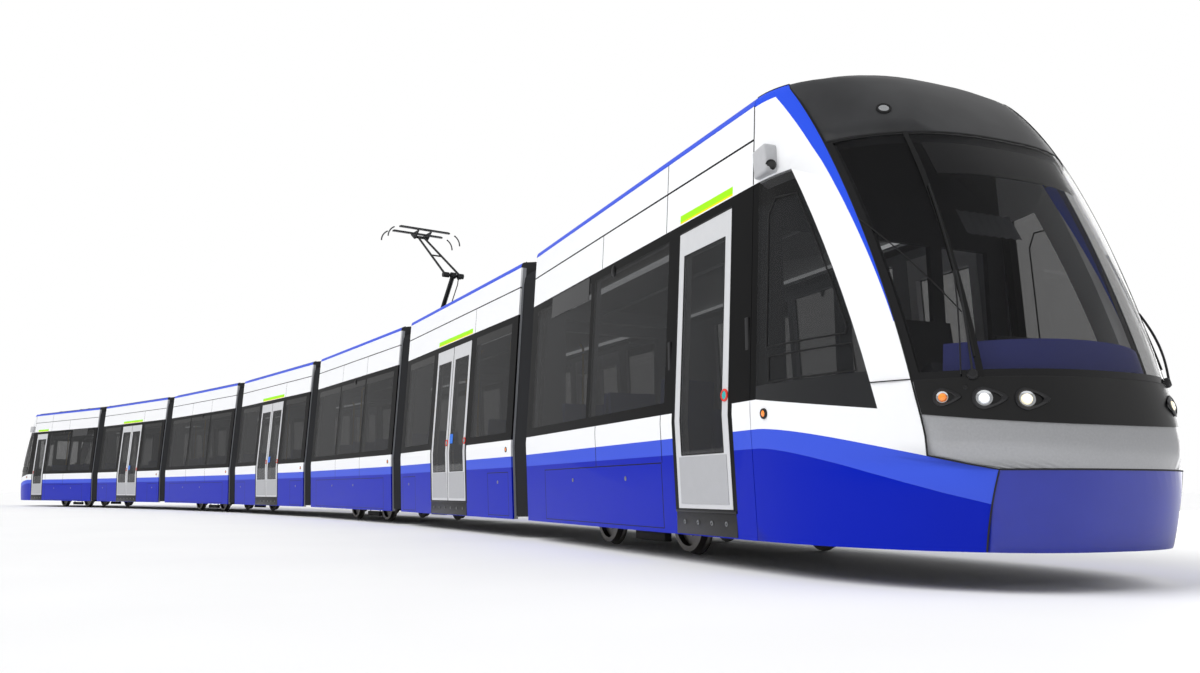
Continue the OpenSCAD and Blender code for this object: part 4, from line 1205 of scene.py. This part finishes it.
    def wiper(self, left: int, foot: float, elbow: Pair, low: Pair, high: Pair) -> list[Piece]:
        """A wiper with a double arm.

        Args:
            left: 1 on the left, -1 on the right.
            foot: Distance of the arm's foot from the middle.
            elbow: Distance from the middle and height of the blade's middle.
            low: The same of the blade's lower end.
            high: The same of the blade's upper end.

        Returns:
            The painted parts.
        """
        def along(p: Pair, q: Pair, out: float, bulge: float = 0) -> list[Vector]:
            """Points between two places, held off the glass."""
            return [NOSE.at_y(left * (p[0] + (q[0] - p[0]) * u), p[1] + (q[1] - p[1]) * u,
                              out + bulge * math.sin(math.pi * u)) for u in spread(0, 1, 14)]

        z = self.wiper_z
        beside = (elbow[0] + 0.004, elbow[1])
        arms = [Bench.tube(along((foot, z), elbow, 0.012, 0.01), 0.0038, 6),
                Bench.tube(along((foot + 0.022, z), beside, 0.012, 0.01), 0.0026, 6)]
        blade = [Bench.tube(along(low, high, out), radius, 6)
                 for out, radius in ((0.0075, 0.0038), (0.0032, 0.0022))]
        at = NOSE.at_y(left * foot, z)
        out = (NOSE.at_y(left * foot, z, 0.01) - at).normalized()
        hub = Bench.turned(Outline.WIPER_HUB, at, out, 20)
        return Bench.paint(Stock.ABS, *arms, hub) + Bench.paint(Stock.RUBBER, *blade)

    def wipers(self) -> list[Piece]:
        """Both wipers, and the thin washer tube from the side frame down to the right one."""
        parts = self.wiper(1, 0.33, (0.43, 0.86), (0.40, 0.66), (0.47, 1.10))
        parts += self.wiper(-1, 0.40, (0.372, 0.93), (0.388, 0.66), (0.358, 1.24))
        high = NOSE.at_x(NOSE.arch_x(1.15), 1.15, -1).y
        fall = zip(spread(high, -0.386, 16), spread(1.15, 0.8, 16))
        route = [NOSE.at_y(y, z, 0.003) for y, z in fall]
        return parts + Bench.paint(Stock.RUBBER, Bench.tube(route, 0.0022, 6))

    def pods(self) -> list[Piece]:
        """Camera pods behind the side frames' tops."""
        body = Bench.block((2.589, -0.016, 1.405), (2.70, 0.044, 1.515), 0.012, 3)
        for vertex in body.data.vertices:
            vertex.co.x += (1.46 - vertex.co.z) * 0.1
            vertex.co.y *= 0.55 + 0.45 * (vertex.co.x - 2.58) / 0.12
        eye = Bench.turned(Outline.POD_EYE, (2.70, 0.02, 1.43), (0.9, 0.35, -0.3), 20)
        for part in (body, eye):
            part.data.transform(Matrix.Translation((0, PLAN.side(1.46) - 0.004, 0)))
        parts = Bench.paint(Stock.WHITE_ABS, body) + Bench.paint(Stock.BLACK, eye)
        return [p for part in parts for p in Bench.both_sides(part)]

    def beacon(self) -> list[Piece]:
        """The small round lamp on the dome."""
        at = NOSE.at_y(-0.367, 1.57)
        out = NOSE.at_y(-0.367, 1.57, 0.01) - at
        return (Bench.paint(Stock.RUBBER, Bench.turned(Outline.BEACON_RING, at, out))
                + Bench.paint(Stock.MIRRORED, Bench.turned(Outline.BEACON_LENS, at, out)))

    def sign(self) -> list[Piece]:
        """The blank destination display behind the windscreen's head."""
        case = Bench.sheet(lambda u, v: NOSE.at_y(0.31 - 0.62 * u, 1.30 + 0.13 * v, -0.018), 12, 3, 0.006)
        return Bench.paint(Stock.SIGN, case)

    def build(self) -> None:
        """Builds all of the nose's trim."""
        body = f"car_{self.car}"
        wipers = self.wipers()
        for name, parts, slot in (
            ("nose_seals", self.seals(), "body_paint"),
            ("screen_pillars", self.pillars(), "tinted_glass"),
            ("lamp_panel", self.panel(), "silver_paint"),
            ("headlamps", self.lamps(), "silver_paint"),
            ("wipers", wipers, "silver_paint"),
            ("camera_pods", self.pods(), "body_paint"),
            ("dome_beacon", self.beacon(), "roof_paint"),
            ("destination_display", self.sign(), "tinted_glass"),
        ):
            Bench.fit(f"{body}_{name}", parts, body, slot, self.car)


@dataclass
class CabFittings:
    """The driver's monitor, console, handles, dashboard cowl and sun blind."""

    car: int

    def cowl(self, u: float, v: float) -> Vector:
        """A place on the cowl behind the windscreen's foot, from its shares across and up."""
        rise = 0.105 + 0.02 * math.sin(math.pi * u)
        return NOSE.at_y((0.46 - 0.92 * u) * (1 - 0.04 * v), 0.615 + rise * v, -0.05)

    def blind(self, u: float, v: float) -> Vector:
        """A place on the sun blind from its shares across and up."""
        return Vector((2.93 - 0.05 * v, 0.30 - 0.26 * u, 1.19 + 0.1 * v + 0.003 * math.sin(u * 40)))

    def build(self) -> None:
        """Builds the fittings inside a cab."""
        desk = PLAN.seam_x + 0.62 * NOSE.length
        boxes = ((-0.03, -0.09, 0.655, -0.005, 0.09, 0.775, 0.005),
                 (-0.02, -0.02, 0.61, 0, 0.02, 0.67, 0.004),
                 (-0.1, 0.2, 0.6, -0.03, 0.3, 0.72, 0.008))
        console = [Bench.block((desk + x0, y0, z0), (desk + x1, y1, z1), bevel)
                   for x0, y0, z0, x1, y1, z1, bevel in boxes]
        screen = Bench.block((desk - 0.033, -0.08, 0.665), (desk - 0.029, 0.08, 0.765), 0.001)
        knobs = [Bench.turned(Outline.KNOB, (desk - 0.1, y, 0.585), (-0.2, 0, 1), 16)
                 for y in (-0.24, 0.13)]
        eye = Bench.block((3.05, -0.46, 0.79), (3.09, -0.40, 0.85), 0.012, 3)
        parts = Bench.paint(Stock.ABS, *console) + Bench.paint(Stock.SIGN, screen)
        parts += Bench.paint(Stock.ABS, *knobs)
        parts += Bench.paint(Stock.COWL, Bench.sheet(self.cowl, 32, 4, 0.004))
        parts += Bench.paint(Stock.ABS, eye)
        parts += Bench.paint(Stock.FABRIC, Bench.sheet(self.blind, 30, 2, 0.002))
        Bench.fit(f"car_{self.car}_cab_fittings", parts, f"car_{self.car}", "floor_grey", self.car)


@dataclass
class Saloon:
    """Grab poles and ceiling lights in a car."""

    car: int
    pole_x: float = 0.34
    pole_y: float = 0.3
    rail_y: float = 0.27
    light_y: float = 0.42

    def build(self) -> None:
        """Builds the poles, rails and lights."""
        length = PLAN.length(self.car)
        doorway = (2.19,) if self.car in CAB_CARS else (1.25,) if self.car in DOOR_CARS else ()
        beside = [x + s * self.pole_x for x in doorway for s in (-1, 1)]
        stands = [x for x in beside if x < length - 0.1]
        foot = 0.188 if self.car in DOOR_CARS else 0.233
        poles = [Bench.tube([(x, y, foot), (x, y, 1.36), (x, y * 0.9, 1.4)], 0.009, 10)
                 for x in stands or [0.55, length - 0.55] for y in (-self.pole_y, self.pole_y)]
        run = ((0.12, 1.3), (0.16, 1.32), (length - 0.16, 1.32), (length - 0.12, 1.3))
        rails = [Bench.tube([(x, y, z) for x, z in run], 0.008)
                 for y in (-self.rail_y, self.rail_y)]
        lights = [Bench.block((0.1, y - 0.02, 1.385), (length - 0.1, y + 0.02, 1.4), 0.005)
                  for y in (-self.light_y, self.light_y)]
        body = f"car_{self.car}"
        bars = Bench.paint(Stock.POLE, *poles) + Bench.paint(Stock.STEEL, *rails)
        Bench.fit(f"{body}_grab_poles", bars, body, "floor_grey", self.car)
        Bench.fit(f"{body}_ceiling_lights", Bench.paint(Stock.TUBE_LIGHT, *lights), body,
                  "floor_grey", self.car)


@dataclass
class RoofTrim:
    """Grilles, hinges and rain strips on a roof."""

    car: int
    lid_w: float = 0.29
    lid_z: float = 1.812
    strip_y: float = 0.56
    slats: int = 12

    def lid(self, x0: float, x1: float) -> list[Piece]:
        """A lid's grille, hinges and bolts, between its two ends."""
        z = self.lid_z
        slats = [Bench.block((x, -0.17, z), (x + 0.012, 0.17, z + 0.007), 0.002, 1)
                 for x in (x0 + 0.08 + 0.022 * j for j in range(self.slats))]
        corners = ((0.06, -0.19), (0.37, -0.19), (0.37, 0.19), (0.06, 0.19))
        rim = Bench.tube([(x0 + x, y, z + 0.001) for x, y in corners], 0.004, 6, True)
        hinges = [Bench.block((x, y - 0.008, z - 0.009), (x + 0.06, y + 0.012, z + 0.004), 0.003)
                  for y in (-self.lid_w, self.lid_w) for x in (x0 + 0.1, x1 - 0.16)]
        bolts = [Bench.turned(Outline.ROOF_BOLT, (x, y, z), (0, 0, 1), 8)
                 for x in (x0 + 0.025, x1 - 0.025) for y in (-0.25, 0, 0.25)]
        return Bench.paint(Stock.ABS, *slats, rim) + Bench.paint(Stock.ZINC, *hinges, *bolts)

    def build(self) -> None:
        """Builds the trim of a roof."""
        length = PLAN.length(self.car)
        parts = []
        if self.car != PANTOGRAPH_CAR:
            start, middle, end = spread(0.12, length - 0.12, 2)
            parts += self.lid(start + 0.03, middle - 0.03) + self.lid(middle + 0.03, end - 0.03)
        strips = [Bench.tube([(0.02, y, 1.7565), (length - 0.02, y, 1.7565)], 0.0035, 6)
                  for y in (-self.strip_y, self.strip_y)]
        parts += Bench.paint(Stock.RUBBER, *strips)
        Bench.fit(f"car_{self.car}_roof_trim", parts, f"car_{self.car}", "roof_paint", self.car)


@dataclass
class BogieTrim:
    """Springs, dampers, brake gear and bolts of a bogie."""

    car: int
    wheelbase: float = 0.925
    axle_z: float = 0.15
    spring_y: float = 0.45
    damper_y: float = 0.488
    cover_y: float = 0.484
    magnet_y: float = 0.345

    def spring(self, x: float, y: float, z: float) -> Piece:
        """A short coil spring."""
        turns, steps, radius = 4, 14, 0.024
        angles = spread(0, 2 * math.pi * turns, turns * steps)
        rises = spread(z, z + 0.05, turns * steps)
        route = [(x + radius * math.cos(a), y + radius * math.sin(a), height)
                 for a, height in zip(angles, rises)]
        return Bench.tube(route, 0.0048, 6)

    def bolts(self, outline: Sequence[Pair], x: float, y: float, circle: float,
              degrees: Iterable[int]) -> list[Piece]:
        """Bolts round an axle, facing outwards.

        Args:
            outline: Half section of one bolt.
            x: The axle's place along the car.
            y: Where the bolts stand across the car.
            circle: Radius of the circle they stand on.
            degrees: Their angles on it.

        Returns:
            The painted bolts.
        """
        places = [(x + circle * math.cos(a), y, self.axle_z + circle * math.sin(a))
                  for a in map(math.radians, degrees)]
        return Bench.paint(Stock.ZINC, *[
            Bench.turned(outline, at, (0, math.copysign(1, y), 0), 6) for at in places])

    def beam(self, middle: float, side: int) -> list[Piece]:
        """What hangs on one side of the frame: damper, axle covers and track brake."""
        def rod(x0: float, z0: float, x1: float, z1: float, y: float, radius: float,
                sides: int) -> Piece:
            """A round bar in a plane along the car."""
            ends = [(middle + x0, side * y, z0), (middle + x1, side * y, z1)]
            return Bench.tube(ends, radius, sides)

        dampers = [rod(s * 0.12, 0.15, s * 0.3, 0.172, self.damper_y, 0.011, 10)
                   for s in (-1, 1)]
        rods = [rod(s * 0.06, 0.143, s * 0.12, 0.15, self.damper_y, 0.005, 8) for s in (-1, 1)]
        parts = Bench.paint(Stock.ZINC, *rods) + Bench.paint(Stock.BOGIE, *dampers)
        for s in (-1, 1):
            x = middle + s * self.wheelbase / 2
            at = (x, side * self.cover_y, self.axle_z)
            cover = Bench.turned(Outline.AXLE_COVER, at, (0, side, 0))
            parts += Bench.paint(Stock.BOGIE, cover)
            parts += self.bolts(Outline.COVER_BOLT, x, side * (self.cover_y + 0.0105), 0.032,
                                range(30, 360, 60))
        y = side * self.magnet_y
        magnet = Bench.block((middle - 0.17, y - 0.02, 0.03), (middle + 0.17, y + 0.02, 0.075), 0.006)
        hangers = [rod(s * 0.14, 0.07, s * 0.14, 0.135, self.magnet_y, 0.007, 8) for s in (-1, 1)]
        return parts + Bench.paint(Stock.BOGIE, magnet) + Bench.paint(Stock.ZINC, *hangers)

    def build(self) -> None:
        """Builds a bogie's trim and the brake discs and bolts of its wheelsets."""
        middle = 1.1 if self.car in CAB_CARS else 1.25
        body = f"car_{self.car}"
        parts = Bench.paint(Stock.SPRING, *[self.spring(middle + s * 0.26, side * self.spring_y, 0.176)
                                            for s in (-1, 1) for side in (-1, 1)])
        for side in (-1, 1):
            parts += self.beam(middle, side)
        Bench.fit(f"{body}_bogie_trim", parts, body, "bogie_steel", self.car)
        for s, end in ((1, "front"), (-1, "rear")):
            x = middle + s * self.wheelbase / 2
            wheel = []
            for side in (-1, 1):
                wheel += self.bolts(Outline.WHEEL_BOLT, x, side * 0.3705, 0.075, range(0, 360, 45))
                at = (x, side * 0.2965, self.axle_z)
                disc = Bench.turned(Outline.BRAKE_DISC, at, (0, side, 0), 32)
                wheel += Bench.paint(Stock.DISC, disc)
            Bench.fit(f"{body}_{end}_wheel_bolts", wheel, f"{body}_{end}_wheelset", "wheel_steel", self.car)


@dataclass
class PantographTrim:
    """Springs of the pantograph, with its carbon strips."""

    spring_y: float = 0.15
    spring_z: float = 1.87
    spring_r: float = 0.013
    strip_x: float = 0.1
    strip_half: float = 0.27

    def build(self) -> None:
        """Builds the pantograph's trim."""
        springs = []
        for y in (-self.spring_y, self.spring_y):
            angles = spread(0, 20 * math.pi, 90)
            route = [(x, y + self.spring_r * math.cos(a), self.spring_z + self.spring_r * math.sin(a))
                     for x, a in zip(spread(1.66, 1.82, 90), angles)]
            springs.append(Bench.tube(route, 0.003, 6))
            springs.append(Bench.tube([(x, y, self.spring_z) for x in (1.58, 1.85)], 0.004, 6))
        Bench.fit("pantograph_springs", Bench.paint(Stock.SPRING, *springs), f"car_{PANTOGRAPH_CAR}",
                  "pantograph_paint", PANTOGRAPH_CAR)
        low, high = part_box("pantograph_head")
        back = PLAN.placement(PANTOGRAPH_CAR).inverted()
        x, top = (back @ ((low + high) / 2)).x, (back @ high).z
        strips = [Bench.block((x + s * self.strip_x - 0.011, -self.strip_half, top + 0.0005),
                              (x + s * self.strip_x + 0.011, self.strip_half, top + 0.006), 0.002) for s in (-1, 1)]
        Bench.fit("pantograph_carbon_strips", Bench.paint(Stock.CARBON, *strips), "pantograph_head",
                  "pantograph_head_metal", PANTOGRAPH_CAR)


class Stage:
    """Plain pale floor, soft lights and the camera."""

    def floor(self) -> None:
        """Lays the floor."""
        bpy.ops.mesh.primitive_plane_add(size=400, location=(0, 0, 0))
        ground = bpy.context.object
        ground.name = "studio_floor"
        g = Graph("pale_studio_floor", Roughness=0.75)
        g.feed(Base_Color=g.coat("F4F4F5", "FAFAFA", g.grain(900, 2)))
        ground.data.materials.append(g.material)

    def sun(self, name: str, towards: Point, strength: float, spread: float) -> None:
        """Adds a wide soft light from far away, which leaves no mark in glossy faces."""
        lamp = bpy.data.lights.new(name, "SUN")
        lamp.energy, lamp.angle = strength, math.radians(spread)
        holder = bpy.data.objects.new(name, lamp)
        holder.rotation_euler = Vector(towards).to_track_quat("Z", "Y").to_euler()
        holder.visible_glossy = False
        bpy.context.scene.collection.objects.link(holder)

    def light(self, name: str, at: Point, size: float, power: float, aim: Point) -> None:
        """Hangs a soft square light, which only the glossy faces at the nose's far edge catch."""
        lamp = bpy.data.lights.new(name, "AREA")
        lamp.shape, lamp.size, lamp.energy = "SQUARE", size, power
        holder = bpy.data.objects.new(name, lamp)
        holder.location = at
        holder.rotation_euler = (Vector(aim) - Vector(at)).to_track_quat("-Z", "Y").to_euler()
        holder.visible_camera = False
        bpy.context.scene.collection.objects.link(holder)

    def camera(self) -> None:
        """Puts the camera low beside the front cab, at floor level."""
        car = PLAN.placement(1)
        camera = bpy.data.objects.new("camera", bpy.data.cameras.new("camera"))
        camera.data.lens, camera.data.sensor_width = 28.35, 36
        camera.data.shift_y = 0.0009
        camera.data.clip_end = 200
        camera.location = car @ Vector((5.4705, -2.446, 0.2725))
        camera.rotation_euler = (math.radians(90 + 9.228), 0, math.radians(157.479 - 90) + PLAN.heading(1))
        bpy.context.scene.collection.objects.link(camera)
        bpy.context.scene.camera = camera

    def build(self) -> None:
        """Sets the whole stage."""
        self.floor()
        world = bpy.data.worlds.new("studio")
        world.use_nodes = True
        nodes, links = world.node_tree.nodes, world.node_tree.links
        sky = nodes["Background"]
        path, ramp = nodes.new("ShaderNodeLightPath"), nodes.new("ShaderNodeMapRange")
        # The backdrop is white; what it casts on the tram is softer, as from a large grey room.
        ramp.inputs["To Min"].default_value, ramp.inputs["To Max"].default_value = 0.42, 1.0
        links.new(path.outputs["Is Camera Ray"], ramp.inputs["Value"])
        links.new(ramp.outputs["Result"], sky.inputs["Strength"])
        sky.inputs["Color"].default_value = (1, 1, 1, 1)
        scene = bpy.context.scene
        scene.world = world
        scene.view_settings.view_transform = "Standard"
        self.sun("key", (-0.35, -0.8, 1.0), 2.3, 50)
        self.sun("fill", (0.9, 0.5, 1.1), 0.7, 60)
        self.light("rim", (6.0, 11.0, 3.0), 9, 600, (10, 2, 1))


def main() -> None:
    """Builds the tram's looks in order."""
    logging.basicConfig(level=logging.INFO, format="%(message)s")
    Stage().camera()
    Shells().build()
    for ahead in range(1, 7):
        Bellows(ahead).build()
    for car in CARS:
        if car in CAB_CARS + DOOR_CARS:
            Doorway(car).build()
        SideTrim(car).build()
        Saloon(car).build()
        RoofTrim(car).build()
    for car in CAB_CARS:
        NoseTrim(car).build()
        CabFittings(car).build()
    for car in BOGIE_CARS:
        BogieTrim(car).build()
    PantographTrim().build()
    Stage().build()


if __name__ == "__main__":
    main()
